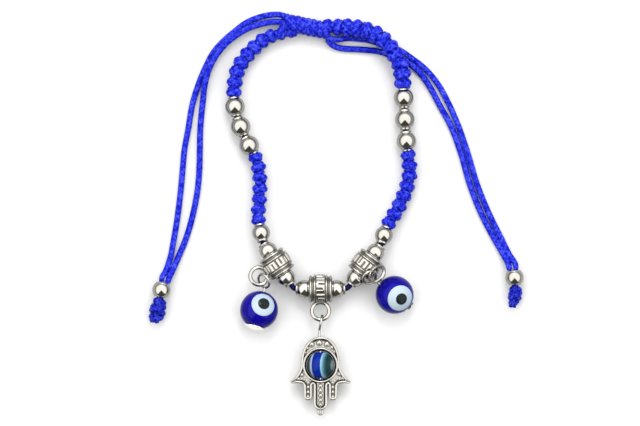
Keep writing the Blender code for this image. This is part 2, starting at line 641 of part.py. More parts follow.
def make_knot():
    """One cord wound round the four strands; its ends run straight for one cord diameter."""
    pack = knot_pack() * math.sqrt(2) + KNOT_STRAND / 2
    radius = pack + KNOT_CLEARANCE + KNOT_CORD / 2
    half = KNOT_TURNS * KNOT_PITCH / 2
    coil = []
    for k in range(KNOT_TURNS * POINTS_PER_TURN + 1):
        angle = math.tau * k / POINTS_PER_TURN + math.pi / 2
        along = KNOT_PITCH * k / POINTS_PER_TURN - half
        coil.append(knot_point(along, radius * math.cos(angle), radius * math.sin(angle)))
    coil.insert(0, coil[0] + (coil[0] - coil[1]).normalized() * KNOT_CORD)
    coil.append(coil[-1] + (coil[-1] - coil[-2]).normalized() * KNOT_CORD)
    knot = tube("sliding_knot", coil, KNOT_CORD / 2, 1)
    finish(knot, cord_blue)
    carry(root, knot)
    spots = np.array(coil)
    apart = np.linalg.norm(spots[:, None] - spots[None, :], axis=2)
    far = np.abs(np.subtract.outer(np.arange(len(spots)), np.arange(len(spots)))) > POINTS_PER_TURN // 2
    print(f"sliding_knot least gap to itself {(apart[far].min() - KNOT_CORD) / MM:.2f} mm")


def make_strand(name):
    """A tail strand: from the far band through the knot, then loose on the table to its end bead."""
    side = name.split("_")[0]
    sign = -1 if side == "left" else 1
    pack = knot_pack()
    level = pack if name.endswith("upper") else -pack
    half = KNOT_TURNS * KNOT_PITCH / 2
    inside = [knot_point(-sign * half, -sign * pack, level), knot_point(sign * half, -sign * pack, level)]
    loose = [stretched(p) for p in STRAND_ROUTE[name]]
    outer = 1 if name in ("left_tail_lower", "right_tail_upper") else -1
    bead_centre, direction = end_place(side)
    across = Vector((-direction.y, direction.x, 0)) * outer
    half_bead = bead_half_length(END_BEAD_DIAMETER, END_STEM_DIAMETER + 4 * BORE_CLEARANCE)
    end = bead_centre - direction * (half_bead + STRAND_END_GAP) + across * STRAND_SPREAD
    points = [stretched(STRAND_START[name])] + inside + loose + [end]
    through = inside[1] - inside[0]
    dense = smooth_route(points, {1: through, 2: through, len(points) - 1: direction})
    route = Route(dense)
    entry, held = (Route(dense[: k * ROUTE_STEPS + 1]).length for k in (1, 2))
    squeezed = [0.0, entry / 2, entry, held, held + KNOT_EXIT]
    free = list(np.linspace(held + KNOT_EXIT, route.length, STRAND_POINTS - 4))[1:]
    stations = squeezed + free
    radii = [KNOT_STRAND / CORD_DIAMETER] * len(squeezed) + [1.0] * len(free)
    strand = tube(name, [route.point(s) for s in stations], CORD_DIAMETER / 2, 2, radii)
    finish(strand, cord_blue)
    carry(root, strand)
    print(f"{name} length {route.length / MM:.1f} mm")


def end_place(side):
    height = (END_BEAD_DIAMETER / 2 + TABLE_GAP) / MM
    return stretched((*END_BEAD_CENTRE[side], height)), Vector(END_DIRECTION[side]).normalized()


def make_end(side):
    """End bead and the knot that stops it; the knot's stem fills the bead's bore."""
    centre, direction = end_place(side)
    stem = END_STEM_DIAMETER / 2
    bore = END_STEM_DIAMETER + 2 * BORE_CLEARANCE
    collar = bore + 2 * BORE_CLEARANCE
    half = bead_half_length(END_BEAD_DIAMETER, collar)
    shape = ball_profile(END_BEAD_DIAMETER / 2, half, bore / 2, BEAD_ARC_STEPS,
                         (collar / 2, BEAD_COLLAR_LENGTH))
    ball = turned(f"{side}_end_bead", shape, BEAD_SEGMENTS, centre, direction)
    finish(ball, silver)
    carry(joint_axis(f"{side}_end_bead_spin", centre, direction), ball)

    length = END_KNOT_LENGTH[side]
    top = half + SEAT_GAP
    lump = END_KNOT_DIAMETER / 2
    profile = [(0, top + length)]
    for k in range(2 * END_KNOT_LOBES + 1):
        reach = 1.0 if k % 2 else 0.8
        reach = 0.6 if k in (0, 2 * END_KNOT_LOBES) else reach
        profile.append((lump * reach, top + length * (1 - k / (2 * END_KNOT_LOBES))))
    profile += [(stem, top), (stem, -half), (0, -half)]
    knot = turned(f"{side}_end_knot", profile, BEAD_SEGMENTS, centre, direction)
    finish(knot, cord_blue)
    carry(root, knot)


def make_side(side):
    """Everything threaded on one side of the loop, from the bail up to the sliding knot."""
    route = Route(smooth_route(side_route(side), {0: bail_place(side)[1]}))
    bore = CORD_DIAMETER + 2 * BORE_CLEARANCE
    half = bead_half_length(SHOULDER_BEAD_DIAMETER)
    s = BEND_GAP + half
    bead(f"{side}_shoulder_bead", SHOULDER_BEAD_DIAMETER, half, bore, *route.seat(s, half))
    start = s + half + BEAD_SEAT_GAP
    end = start + LOWER_BAND_LENGTH[side]
    band(f"{side}_lower_band", route, start, end)
    half = bead_half_length(BEAD_DIAMETER)
    s = end + BEAD_SEAT_GAP + half
    for k in range(BEADS_PER_SIDE):
        bead(f"{side}_bead_{k + 1}", BEAD_DIAMETER, half, bore, *route.seat(s, half))
        last = s + half + BEAD_SEAT_GAP
        s += 2 * half + BEAD_SPACING[side]
    band(f"{side}_upper_band", route, last, route.length - SEAT_GAP)


def make_core():
    """The cord that everything is threaded on, from one band's end round to the other's."""
    left = side_route("left")
    right = side_route("right")
    points = list(reversed(left))
    tangents = {len(points) - 1: -bail_place("left")[1]}
    for side, sign in (("left", 1), ("centre", -1), ("centre", 1), ("right", -1)):
        centre, direction = bail_place(side)
        inner = -direction if side == "left" else direction
        points.append(centre + inner * sign * BAIL_LENGTH / 2)
        tangents[len(points) - 1] = inner
    tangents[len(points)] = bail_place("right")[1]
    points += right
    route = Route(smooth_route(points, tangents))
    bends = range(len(left) - 1, len(left) + 5)
    marks = [Route(route.dense[: ROUTE_STEPS * i + 1]).length for i in bends]
    stations = list(np.arange(0.0, marks[0], CORE_STEP))
    for start, end, count in zip(marks[:-1], marks[1:], (3, 5, 3, 5, 3)):
        stations += list(np.linspace(start, end, count, endpoint=False))
    stations += list(np.linspace(marks[-1], route.length, round((route.length - marks[-1]) / CORE_STEP)))
    core = tube("core_cord", [route.point(s) for s in stations], CORD_DIAMETER / 2, 1)
    finish(core, cord_blue)
    carry(root, core)
    print(f"core_cord length {route.length / MM:.1f} mm")


def stand_on_origin():
    """Shift the whole bracelet so that the loop and charms sit centred over the origin, on z = 0."""
    bpy.context.view_layer.update()
    graph = bpy.context.evaluated_depsgraph_get()
    low, high = Vector((9, 9, 9)), Vector((-9, -9, -9))
    for item in parts.objects:
        if item.type == "EMPTY" or "tail" in item.name or "end_" in item.name:
            continue
        shape = item.evaluated_get(graph)
        mesh = shape.to_mesh()
        for vertex in mesh.vertices:
            place = shape.matrix_world @ vertex.co
            low = Vector(map(min, low, place))
            high = Vector(map(max, high, place))
        shape.to_mesh_clear()
    root.location = (-(low.x + high.x) / 2, -(low.y + high.y) / 2, -low.z)
    bpy.context.view_layer.update()


clear_scene()
parts = new_collection(NAME)
cutters = new_collection("cutters")
bpy.context.view_layer.active_layer_collection = bpy.context.view_layer.layer_collection.children[NAME]
root = bpy.data.objects.new("bracelet_origin", None)
parts.objects.link(root)

chosen_x = [p[0] for p in LEFT_SIDE + RIGHT_SIDE]
chosen_y = [p[1] for p in LEFT_SIDE + RIGHT_SIDE]
STRETCH_X = LOOP_WIDTH / MM / (max(chosen_x) - min(chosen_x))
STRETCH_Y = LOOP_HEIGHT / MM / (max(chosen_y) - min(chosen_y))

cord_blue = make_material("cord_blue", (0.02, 0.035, 0.75), 0.6)
silver = make_material("silver", (0.82, 0.8, 0.76), 0.18, 1.0)
antique_silver = make_material("antique_silver", (0.62, 0.6, 0.56), 0.35, 1.0)
cobalt_glass = make_material("cobalt_glass", (0.01, 0.012, 0.3), 0.08)
white_glass = make_material("white_glass", (0.78, 0.9, 0.98), 0.1)
black_glass = make_material("black_glass", (0.01, 0.012, 0.015), 0.08)
resin_blue = make_material("resin_blue", (0.02, 0.06, 0.45), 0.15)

make_core()
make_knot()
for strand_name in STRAND_ROUTE:
    make_strand(strand_name)
for side_name in ("left", "right"):
    make_end(side_name)
    make_side(side_name)
    glass_eye(side_name, make_bail(side_name))
make_hamsa(make_bail("centre"))
stand_on_origin()
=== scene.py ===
"""Looks of a knotted cord bracelet with glass eye charms and a hamsa charm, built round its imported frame."""

import json
import math

import bmesh
import bpy
import numpy as np
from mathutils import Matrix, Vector


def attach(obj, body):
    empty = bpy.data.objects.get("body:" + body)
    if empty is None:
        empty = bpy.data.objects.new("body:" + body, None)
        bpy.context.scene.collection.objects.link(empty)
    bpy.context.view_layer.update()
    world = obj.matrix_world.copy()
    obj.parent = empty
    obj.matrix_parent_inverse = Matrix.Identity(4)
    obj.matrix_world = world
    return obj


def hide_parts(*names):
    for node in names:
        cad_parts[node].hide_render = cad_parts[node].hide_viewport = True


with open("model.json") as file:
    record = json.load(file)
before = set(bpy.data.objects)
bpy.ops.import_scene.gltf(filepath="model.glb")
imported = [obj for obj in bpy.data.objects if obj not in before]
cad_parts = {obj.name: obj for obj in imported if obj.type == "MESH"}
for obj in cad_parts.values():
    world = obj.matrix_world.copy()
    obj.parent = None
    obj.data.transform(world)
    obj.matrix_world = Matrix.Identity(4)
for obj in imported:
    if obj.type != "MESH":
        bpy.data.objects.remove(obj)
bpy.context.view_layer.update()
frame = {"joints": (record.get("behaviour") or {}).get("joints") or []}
MM = 0.001
UP = Vector((0, 0, 1))
BOTH = ("left", "right")
joints = {j["name"]: j for j in frame["joints"]}
BAIL_CENTRE = Vector((0.0, -16.7, 3.25)) * MM
OFFSET = Vector(joints["centre_bail_turn"]["pos_m"]) - BAIL_CENTRE

# Sizes and directions, most of them those of the solids
CORD = 1.2 * MM
BAIL_LENGTH = 10.5 * MM
CORNER_RUN_CENTRE, CORNER_RUN_SIDE = 0.6 * MM, 1.4 * MM
SIDE_BAIL_DIRECTION = {"left": (-0.56, 0.83), "right": (0.61, 0.79)}
BAND_LENGTH = {"left": 15.0 * MM, "right": 17.2 * MM}
BEAD_SPACING = {"left": 0.45 * MM, "right": 0.65 * MM}
BEAD_SEAT, BEND_GAP, SEAT = 0.5 * MM, 0.8 * MM, 0.3 * MM
BEAD, SHOULDER, END_BEAD = 4.4 * MM, 4.0 * MM, 4.1 * MM
COLLAR, COLLAR_LENGTH = 2.5 * MM, 0.25 * MM
BORE_GAP, END_WALL = 0.6 * MM, 0.6 * MM
BEAD_BORE = CORD + BORE_GAP
END_BORE = 1.8 * MM + BORE_GAP
END_COLLAR = END_BORE + END_WALL
KNOT_TURNS, KNOT_PITCH, KNOT_ANGLE = 6, 1.2 * MM, math.radians(-11.8)
KNOT_CENTRE = Vector((-2.5, 40.9, 2.25)) * MM
KNOT_PACK = 0.475 * MM
LOBE_PITCH = 2.1 * MM
RING_LIFT = {"left": math.radians(10), "centre": 0.0, "right": math.radians(50)}
RING_REACH, RING_RADIUS, RING_WIRE = 4.85 * MM, 1.9 * MM, 0.45 * MM
LOOP_NORMAL = {"left": (-0.62, -0.38, 0.69), "right": (0.42, -0.45, 0.79)}
LOOP_OFFSET = {"left": (-2.87, -3.76, 0.96), "right": (0.80, -2.69, 3.17)}
LOOP_RADIUS, PIN_RADIUS, HEAD_RADIUS = 1.55 * MM, 0.28 * MM, 1.2 * MM
GLASS, GLASS_BORE = 4.2 * MM, 0.5 * MM
HAMSA = Vector(joints["hamsa_eye_spin"]["pos_m"])

# Routes in millimetres, from a side bail up to the knot, and from the knot to each end bead
STEPS = 16
SIDES = {
    "left": [
        (-12.6, -6.9, 3.25), (-13.1, -4.3, 2.95), (-13.7, -1.8, 2.45), (-13.7, 1.1, 2.05),
        (-13.5, 3.7, 1.90), (-13.4, 6.4, 1.90), (-13.5, 8.8, 1.90), (-14.0, 11.0, 1.95),
        (-14.7, 13.1, 2.10), (-15.9, 15.0, 2.25), (-17.5, 18.6, 2.25), (-18.7, 22.2, 2.25),
        (-19.1, 25.0, 2.15), (-19.1, 26.6, 2.00), (-18.9, 28.6, 1.90), (-18.6, 30.5, 1.90),
        (-17.9, 32.3, 1.90), (-16.6, 34.2, 1.90), (-14.8, 36.2, 1.90), (-12.7, 38.0, 1.90),
        (-10.4, 39.1, 2.00), (-8.6, 39.5, 2.20),
    ],
    "right": [
        (13.0, -6.7, 3.25), (13.8, -4.2, 2.95), (14.8, -1.9, 2.45), (16.2, 0.3, 2.05),
        (17.6, 2.9, 1.90), (18.7, 5.5, 1.90), (19.4, 8.1, 1.90), (19.5, 10.6, 1.95),
        (19.3, 12.8, 2.05), (19.0, 14.4, 2.15), (18.8, 16.5, 2.25), (18.5, 20.7, 2.25),
        (18.3, 25.1, 2.25), (18.1, 27.9, 2.50), (18.0, 29.9, 2.90), (17.8, 31.8, 3.30),
        (17.1, 33.7, 3.45), (16.0, 35.6, 3.45), (14.3, 37.6, 3.45), (12.4, 39.2, 3.30),
        (10.1, 40.2, 2.95), (7.6, 40.7, 2.60), (5.0, 40.9, 2.35), (2.2, 41.0, 2.25),
    ],
}
BAND_TUCK = {"left": (-5.4, 39.9, 1.75), "right": (0.6, 41.1, 2.25)}
STRAND_START = {"left": (1.8, 41.0), "right": (-8.1, 40.0)}
START_HEIGHT = {"upper": 2.78, "lower": 1.7}
START_PULL, START_DROP = 0.5, 0.15
# A point with no height of its own lies on the table
STRAND_REST = 0.65
STRAND_ROUTE = {
    "left_tail_upper": [
        (-7.4, 43.1, 2.5), (-8.9, 43.6, 2.2), (-11.1, 43.6, 1.5), (-13.9, 43.0, 1.0), (-16.6, 41.8, 0.75),
        (-18.6, 40.3), (-21.2, 38.1), (-23.6, 35.4), (-25.3, 32.2), (-26.7, 28.9), (-28.0, 24.9),
        (-29.2, 18.3), (-30.0, 13.9), (-30.4, 9.5), (-30.8, 5.1), (-31.3, 0.7), (-32.35, -5.9),
        (-33.15, -10.0, 0.9), (-34.05, -12.7, 1.6),
    ],
    "left_tail_lower": [
        (-7.4, 42.0, 1.7), (-8.9, 42.1, 1.8), (-11.1, 42.0, 1.65), (-13.9, 41.4, 1.55), (-16.4, 40.4, 1.65),
        (-18.3, 39.3, 1.8), (-20.7, 37.4, 1.9), (-22.9, 34.8, 1.95), (-24.5, 31.8, 1.8), (-25.4, 28.6, 1.5),
        (-25.9, 24.9, 0.9), (-26.5, 18.3), (-26.6, 13.9), (-26.7, 9.5), (-27.1, 5.1), (-27.9, 0.7),
        (-29.75, -5.9), (-31.45, -10.0, 0.9), (-32.65, -12.8, 1.6),
    ],
    "right_tail_upper": [
        (2.4, 38.3, 2.3), (3.8, 38.2, 1.6), (5.6, 38.5, 0.9), (8.0, 38.4), (10.9, 38.0), (14.2, 36.9),
        (17.6, 35.8), (20.1, 34.1), (22.6, 32.2), (25.1, 29.5), (28.4, 23.8), (30.0, 20.2), (32.4, 13.4),
        (34.5, 6.4), (37.0, 0.2), (39.95, -5.8), (41.5, -9.0, 1.0),
    ],
    "right_tail_lower": [
        (1.9, 37.7, 1.3), (3.4, 36.6, 0.9), (5.4, 36.2, 0.7), (7.8, 36.1), (10.3, 35.9), (12.9, 35.6),
        (15.7, 34.6), (19.6, 32.9), (21.85, 30.95), (23.95, 28.05), (26.4, 23.5), (28.3, 20.1), (30.9, 13.4),
        (32.9, 6.4), (35.3, 0.2), (38.4, -5.8), (40.2, -9.0, 1.0),
    ],
}
STRAND_SPREAD, STRAND_END_GAP, END_SHIFT = 0.76 * MM, 0.6 * MM, 0.35 * MM
TIP_DEPTH, TIP_SPREAD = 0.8, 0.4


def smooth_route(points, tangents):
    """Dense points on a cubic curve through the given points, with some tangents given."""
    points = np.array(points, float)
    chord = np.linalg.norm(np.diff(points, axis=0), axis=1)
    along = np.concatenate([[0.0], np.cumsum(chord)])
    slope = np.gradient(points, along, axis=0)
    for index, tangent in tangents.items():
        slope[index] = np.array(tangent) / np.linalg.norm(tangent)
    t = (np.arange(STEPS) / STEPS)[:, None]
    dense = []
    for i in range(len(points) - 1):
        dense.append((2 * t**3 - 3 * t**2 + 1) * points[i] + (t**3 - 2 * t**2 + t) * chord[i] * slope[i]
                     + (3 * t**2 - 2 * t**3) * points[i + 1] + (t**3 - t**2) * chord[i] * slope[i + 1])
    return np.concatenate(dense + [points[-1:]])


class Route:
    """A curve that can be read at any length from its start."""

    def __init__(self, dense):
        self.dense = np.array(dense)
        steps = np.linalg.norm(np.diff(self.dense, axis=0), axis=1)
        self.along = np.concatenate([[0.0], np.cumsum(steps)])
        self.length = self.along[-1]

    def point(self, s):
        return Vector([np.interp(s, self.along, self.dense[:, k]) for k in range(3)])

    def direction(self, s, reach=0.4 * MM):
        return (self.point(s + reach) - self.point(s - reach)).normalized()

    def across(self, s):
        """Sideways and upwards at a place along the route."""
        ahead = self.direction(s, 1.0 * MM)
        aside = UP.cross(ahead).normalized()
        return aside, ahead.cross(aside)


def bail_place(side):
    """Centre and direction of a bail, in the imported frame."""
    middle = BAIL_CENTRE + OFFSET
    if side == "centre":
        return middle, Vector((1, 0, 0))
    sign = -1 if side == "left" else 1
    direction = Vector((*SIDE_BAIL_DIRECTION[side], 0)).normalized()
    corner = middle + Vector((sign * (BAIL_LENGTH / 2 + CORNER_RUN_CENTRE), 0, 0))
    return corner + direction * (CORNER_RUN_SIDE + BAIL_LENGTH / 2), direction


def ring_place(side):
    """Centre and normal of a bail's cast ring."""
    centre, direction = bail_place(side)
    outward = UP.cross(direction) if side == "left" else direction.cross(UP)
    outward = outward * math.cos(RING_LIFT[side]) + Vector((0, 0, math.sin(RING_LIFT[side])))
    return centre + outward * RING_REACH, direction.cross(outward).normalized()


def spin_place(name):
    """Centre and axis of a piece that spins."""
    joint = joints[f"{name}_spin"]
    return Vector(joint["pos_m"]), Vector(joint["axis"]).normalized()


def side_points(side):
    chosen = [Vector(p) * MM + OFFSET for p in SIDES[side]]
    centre, direction = bail_place(side)
    lean = centre + direction * BAIL_LENGTH / 2 - chosen[0]
    last = len(chosen) - 1
    return [p + lean * (1 - i / last) for i, p in enumerate(chosen)]


def knot_point(along, aside, lift):
    axis = Vector((math.cos(KNOT_ANGLE), math.sin(KNOT_ANGLE), 0))
    side = Vector((-axis.y, axis.x, 0))
    return KNOT_CENTRE + OFFSET + axis * along + side * aside + Vector((0, 0, lift))


def circle(centre, normal, radius, count, start=None):
    """Points on a circle in space, from a starting direction."""
    normal = Vector(normal).normalized()
    first = Vector(start) if start is not None else normal.orthogonal()
    first = (first - normal * first.dot(normal)).normalized()
    second = normal.cross(first)
    angles = [math.tau * k / count for k in range(count)]
    return [centre + (first * math.cos(a) + second * math.sin(a)) * radius for a in angles]


def dome(radius, start, end, count):
    """Radius and height of points on a ball, between two angles from its pole."""
    return [(radius * math.sin(a), radius * math.cos(a)) for a in np.linspace(start, end, count)]


def mirrored(half):
    """The same radii below the middle, from the middle outwards."""
    return [(r, -z) for r, z in reversed(half)]


def turned(table):
    """Radius and height pairs, and dullness, from a table in millimetres."""
    return [(r * MM, z * MM) for r, z, _ in table], [d for _, _, d in table]


# Mesh builders

TINY = 1e-9


def new_object(name, data, location=(0, 0, 0)):
    item = bpy.data.objects.new(name, data)
    bpy.context.scene.collection.objects.link(item)
    item.location = location
    return item


def aim(item, direction, axis):
    """Turn an object so that one of its own axes points along a direction."""
    item.rotation_mode = "QUATERNION"
    item.rotation_quaternion = Vector(direction).to_track_quat(axis, "Y")


def add_mesh(name, verts, faces, location=(0, 0, 0)):
    data = bpy.data.meshes.new(name)
    data.from_pydata(verts, [], faces)
    data.update()
    data.shade_smooth()
    return new_object(name, data, location)


def set_recess(data, values):
    layer = data.attributes.new("recess", "FLOAT", "POINT")
    layer.data.foreach_set("value", np.array(values, np.float32))


class Shape:
    """Vertices, faces, face mapping and a recess value, gathered before they become one mesh."""

    def __init__(self):
        self.verts, self.faces, self.maps, self.recess = [], [], [], []

    def grid(self, rows, closed_rows=False, maps=None, recess=None):
        """Rings of points joined into quads. Maps holds u for each row and v for each column, plus one."""
        base = len(self.verts)
        count, width = len(rows), len(rows[0])
        for i, row in enumerate(rows):
            self.verts.extend(row)
            self.recess.extend(recess[i] if recess is not None else [0.0] * width)
        for i in range(count if closed_rows else count - 1):
            for j in range(width):
                i1, j1 = (i + 1) % count, (j + 1) % width
                self.faces.append((base + i * width + j, base + i * width + j1,
                                   base + i1 * width + j1, base + i1 * width + j))
                u0, u1, v0, v1 = 0, 1, 0, 1
                if maps is not None:
                    u0, u1 = maps[0][i], maps[0][i + 1]
                    v0, v1 = maps[1][j], maps[1][j + 1]
                self.maps.append(((u0, v0), (u0, v1), (u1, v1), (u1, v0)))
        return base

    def cap(self, ring):
        ring = tuple(ring)
        self.faces.append(ring)
        self.maps.append(tuple((0, 0) for _ in ring))

    def cap_last(self, width):
        """Close the last ring from below."""
        last = len(self.verts)
        self.cap(reversed(range(last - width, last)))

    def tube(self, points, radius, sides=10, closed=False, flat=1.0, up=None, start=0.0):
        """A round cord along points; mapped in millimetres along it and turns round it."""
        points = np.array([tuple(p) for p in points], float)
        count = len(points)
        if closed:
            ahead = np.roll(points, -1, 0) - np.roll(points, 1, 0)
        else:
            ahead = np.gradient(points, axis=0)
        ahead /= np.linalg.norm(ahead, axis=1)[:, None]
        radii = np.broadcast_to(np.array(radius, float), (count,))
        if up is None:
            side = np.cross((0, 0, 1.0), ahead[0])
            carried = [side / np.linalg.norm(side)]
            for i in range(1, count):
                step = carried[-1] - ahead[i] * carried[-1].dot(ahead[i])
                carried.append(step / np.linalg.norm(step))
            aside = np.array(carried)
        else:
            aside = np.cross(np.array(up, float), ahead)
            aside /= np.linalg.norm(aside, axis=1)[:, None]
        lift = np.cross(ahead, aside)
        angle = np.arange(sides) / sides * math.tau
        rows = []
        for i in range(count):
            ring = (points[i] + radii[i] * (np.cos(angle)[:, None] * aside[i]
                                            + flat * np.sin(angle)[:, None] * lift[i]))
            rows.append([tuple(p) for p in ring])
        length = np.concatenate([[0.0], np.cumsum(np.linalg.norm(np.diff(points, axis=0), axis=1))])
        closing = length[-1] + np.linalg.norm(points[0] - points[-1])
        along = list((np.append(length, closing) / MM) + start)
        base = self.grid(rows, closed_rows=closed, maps=(along, [k / sides for k in range(sides + 1)]))
        if not closed:
            self.cap(reversed(range(base, base + sides)))
            last = base + (count - 1) * sides
            self.cap(range(last, last + sides))

    def lathe(self, profile, segments, recess=None):
        """A profile of (radius, height) pairs turned round Z; a radius may be a list, one for each side."""
        rows, values = [], []
        angle = np.arange(segments) / segments * math.tau
        for k, (radius, height) in enumerate(profile):
            radius = np.maximum(np.broadcast_to(np.array(radius, float), (segments,)), TINY)
            rows.append([(r * math.cos(a), r * math.sin(a), height) for r, a in zip(radius, angle)])
            value = recess[k] if recess is not None else 0.0
            values.append(list(np.broadcast_to(np.array(value, float), (segments,))))
        self.grid(rows, maps=([k * 0.1 for k in range(len(profile) + 1)],
                              [k / segments for k in range(segments + 1)]), recess=values)

    def build(self, name, material, location=(0, 0, 0), axis=None, weld=True, turn_out=True):
        item = add_mesh(name, self.verts, self.faces, location)
        if axis is not None:
            aim(item, axis, "Z")
        item.data.materials.append(material)
        layer = item.data.uv_layers.new(name="along")
        flat = [c for face in self.maps for pair in face for c in pair]
        layer.data.foreach_set("uv", np.array(flat, np.float32))
        if any(self.recess):
            set_recess(item.data, self.recess)
        edit = bmesh.new()
        edit.from_mesh(item.data)
        if weld:
            bmesh.ops.remove_doubles(edit, verts=edit.verts, dist=1e-7)
        if turn_out:
            bmesh.ops.recalc_face_normals(edit, faces=edit.faces)
        edit.to_mesh(item.data)
        edit.free()
        return item

    def look(self, node, material, body, slot, *where, weld=True):
        """Build the piece that stands for one CAD node."""
        return place(self.build(f"{node}_look", material, *where, weld=weld), body, slot, node)


# Materials

class Nodes:
    """A node tree, with short ways to add to it."""

    def __init__(self, tree):
        self.nodes, self.links = tree.nodes, tree.links

    def feed(self, item, inputs):
        """Join outputs to a node's sockets, or set the sockets to constants."""
        for key, value in dict(inputs).items():
            if isinstance(value, bpy.types.NodeSocket):
                self.links.new(value, item.inputs[key])
            else:
                item.inputs[key].default_value = value

    def add(self, kind, inputs=(), **settings):
        item = self.nodes.new(kind)
        for key, value in settings.items():
            setattr(item, key, value)
        self.feed(item, inputs)
        return item

    def maths(self, operation, *values, clamp=False):
        return self.add("ShaderNodeMath", enumerate(values), operation=operation, use_clamp=clamp).outputs[0]

    def mix(self, factor, first, second):
        inputs = {"Factor": factor, "A": first, "B": (*second, 1.0)}
        return self.add("ShaderNodeMix", inputs, data_type="RGBA").outputs["Result"]

    def ramp(self, factor, stops):
        item = self.add("ShaderNodeValToRGB", {"Fac": factor})
        points = item.color_ramp.elements
        while len(points) < len(stops):
            points.new(0.5)
        for point, (place, colour) in zip(points, stops):
            point.position = place
            point.color = (*colour, 1.0)
        return item.outputs["Color"]

    def coords(self, kind):
        return self.add("ShaderNodeTexCoord").outputs[kind]

    def noise(self, scale, detail):
        inputs = {"Vector": self.coords("Object"), "Scale": scale, "Detail": detail}
        return self.add("ShaderNodeTexNoise", inputs).outputs["Fac"]

    def bump(self, height, strength, distance):
        inputs = {"Height": height, "Strength": strength, "Distance": distance}
        return self.add("ShaderNodeBump", inputs).outputs["Normal"]


def new_material(name):
    finish = bpy.data.materials.new(name)
    finish.use_nodes = True
    return finish, Nodes(finish.node_tree), finish.node_tree.nodes["Principled BSDF"]


def shaded(tone, share):
    return tuple(share * c for c in tone)


YARNS, FUZZ_AND_SHEEN_SHARE, YARN_DEPTH = 4, 0.8, 0.00008


def cord_material(name, tones, pitch, strength):
    """Braided satin cord: two crossing sets of fine yarns and a random fuzz raise the bump and pick the tone,
    with painted shade in the grooves and a painted satin highlight on the raised yarns and mottles.
    """
    finish, nodes, shader = new_material(name)
    place = nodes.add("ShaderNodeUVMap", uv_map="along").outputs["UV"]
    split = nodes.add("ShaderNodeSeparateXYZ", {0: place})
    along = nodes.maths("MULTIPLY", split.outputs["X"], math.tau / pitch)
    around = nodes.maths("MULTIPLY", split.outputs["Y"], math.tau * YARNS)
    first = nodes.maths("SINE", nodes.maths("ADD", along, around))
    second = nodes.maths("SINE", nodes.maths("SUBTRACT", along, around))
    yarn = nodes.maths("MULTIPLY_ADD", nodes.maths("MAXIMUM", first, second), 0.5, 0.5)
    fuzz_and_sheen = nodes.maths("MULTIPLY", nodes.noise(scale=1300.0, detail=2.0), FUZZ_AND_SHEEN_SHARE)
    height = nodes.maths("MULTIPLY_ADD", yarn, 1 - FUZZ_AND_SHEEN_SHARE, fuzz_and_sheen)
    # The ramp paints shade on the low yarns and grooves and a satin highlight on the high ones.
    nodes.feed(shader, {"Base Color": nodes.ramp(height, list(zip((0.3, 0.5, 0.74), tones))),
                        "Normal": nodes.bump(height, strength, YARN_DEPTH),
                        "Roughness": 0.36, "Specular IOR Level": 0.06})
    return finish


GRAIN_TONE, GRAIN_ROUGH, GRAIN_DEPTH = 0.93, 0.08, 0.00002
RECESS_PATCH, RECESS_FULL, RECESS_ROUGH = -0.4, 1.18, 0.3


def metal_material(name, bright, roughness, grain, dark=None):
    """Silver plate with faint casting grain; where a dark tone is given, recesses take it and turn dull, and
    on the inner wall of the hamsa's window ring that dark tone is painted shade.
    """
    finish, nodes, shader = new_material(name)
    noise = nodes.noise(scale=700.0, detail=4.0)
    tone = nodes.ramp(noise, [(0.3, shaded(bright, GRAIN_TONE)), (0.7, bright)])
    rough = nodes.maths("MULTIPLY_ADD", noise, GRAIN_ROUGH, roughness)
    if dark:
        mark = nodes.add("ShaderNodeAttribute", attribute_name="recess").outputs["Fac"]
        patch = nodes.maths("MULTIPLY_ADD", noise, RECESS_PATCH, RECESS_FULL)
        tone = nodes.mix(nodes.maths("MULTIPLY", mark, patch, clamp=True), tone, dark)
        rough = nodes.maths("MULTIPLY_ADD", mark, RECESS_ROUGH, rough)
    nodes.feed(shader, {"Base Color": tone, "Roughness": rough, "Metallic": 1.0,
                        "Normal": nodes.bump(noise, grain, GRAIN_DEPTH)})
    return finish


def glass_material(name, deep, painted_edge):
    """Coloured lamp-worked glass: its deep tone in the middle with random streaks, going over to a painted
    edge tone where the surface turns from the camera.
    """
    finish, nodes, shader = new_material(name)
    # The edge tone is painted by how far the surface turns from the camera.
    edge = nodes.add("ShaderNodeLayerWeight", {"Blend": 0.25}).outputs["Facing"]
    amount = nodes.maths("MULTIPLY_ADD", nodes.noise(scale=260.0, detail=2.0), 0.3, edge)
    nodes.feed(shader, {"Base Color": nodes.ramp(amount, [(0.15, deep), (0.95, painted_edge)]),
                        "Roughness": 0.03, "IOR": 1.5, "Specular IOR Level": 0.08})
    return finish


RESIN_SHADE = 0.65
# Rings of colour from the eye's front to its back, as a share of half a turn; the pale grey at the very front
# is a painted highlight
RESIN_RINGS = [
    (0.0, (0.17, 0.21, 0.21)), (0.1, (0.13, 0.18, 0.18)), (0.14, (0.012, 0.045, 0.05)),
    (0.25, (0.005, 0.022, 0.028)), (0.3, (0.022, 0.09, 0.115)), (0.345, (0.1, 0.26, 0.34)),
    (0.383, (0.28, 0.44, 0.54)), (0.395, (0.001, 0.02, 0.25)), (0.59, (0.001, 0.014, 0.22)),
    (0.605, (0.3, 0.36, 0.45)), (0.65, (0.3, 0.36, 0.45)), (0.668, (0.025, 0.05, 0.05)),
    (1.0, (0.07, 0.1, 0.095)),
]


def resin_material(axis):
    """Resin bead with rings of colour about an axis in the bead's own space."""
    finish, nodes, shader = new_material("resin_eye_rings")
    unit = nodes.add("ShaderNodeVectorMath", {0: nodes.coords("Object")}, operation="NORMALIZE").outputs[0]
    inputs = {0: unit, 1: Vector(axis).normalized()}
    facing = nodes.add("ShaderNodeVectorMath", inputs, operation="DOT_PRODUCT")
    angle = nodes.maths("ARCCOSINE", facing.outputs["Value"])
    part = nodes.maths("DIVIDE", angle, math.pi)
    stops = [(spot, shaded(colour, RESIN_SHADE)) for spot, colour in RESIN_RINGS]
    nodes.feed(shader, {"Base Color": nodes.ramp(part, stops), "Roughness": 0.06, "Specular IOR Level": 0.07})
    return finish
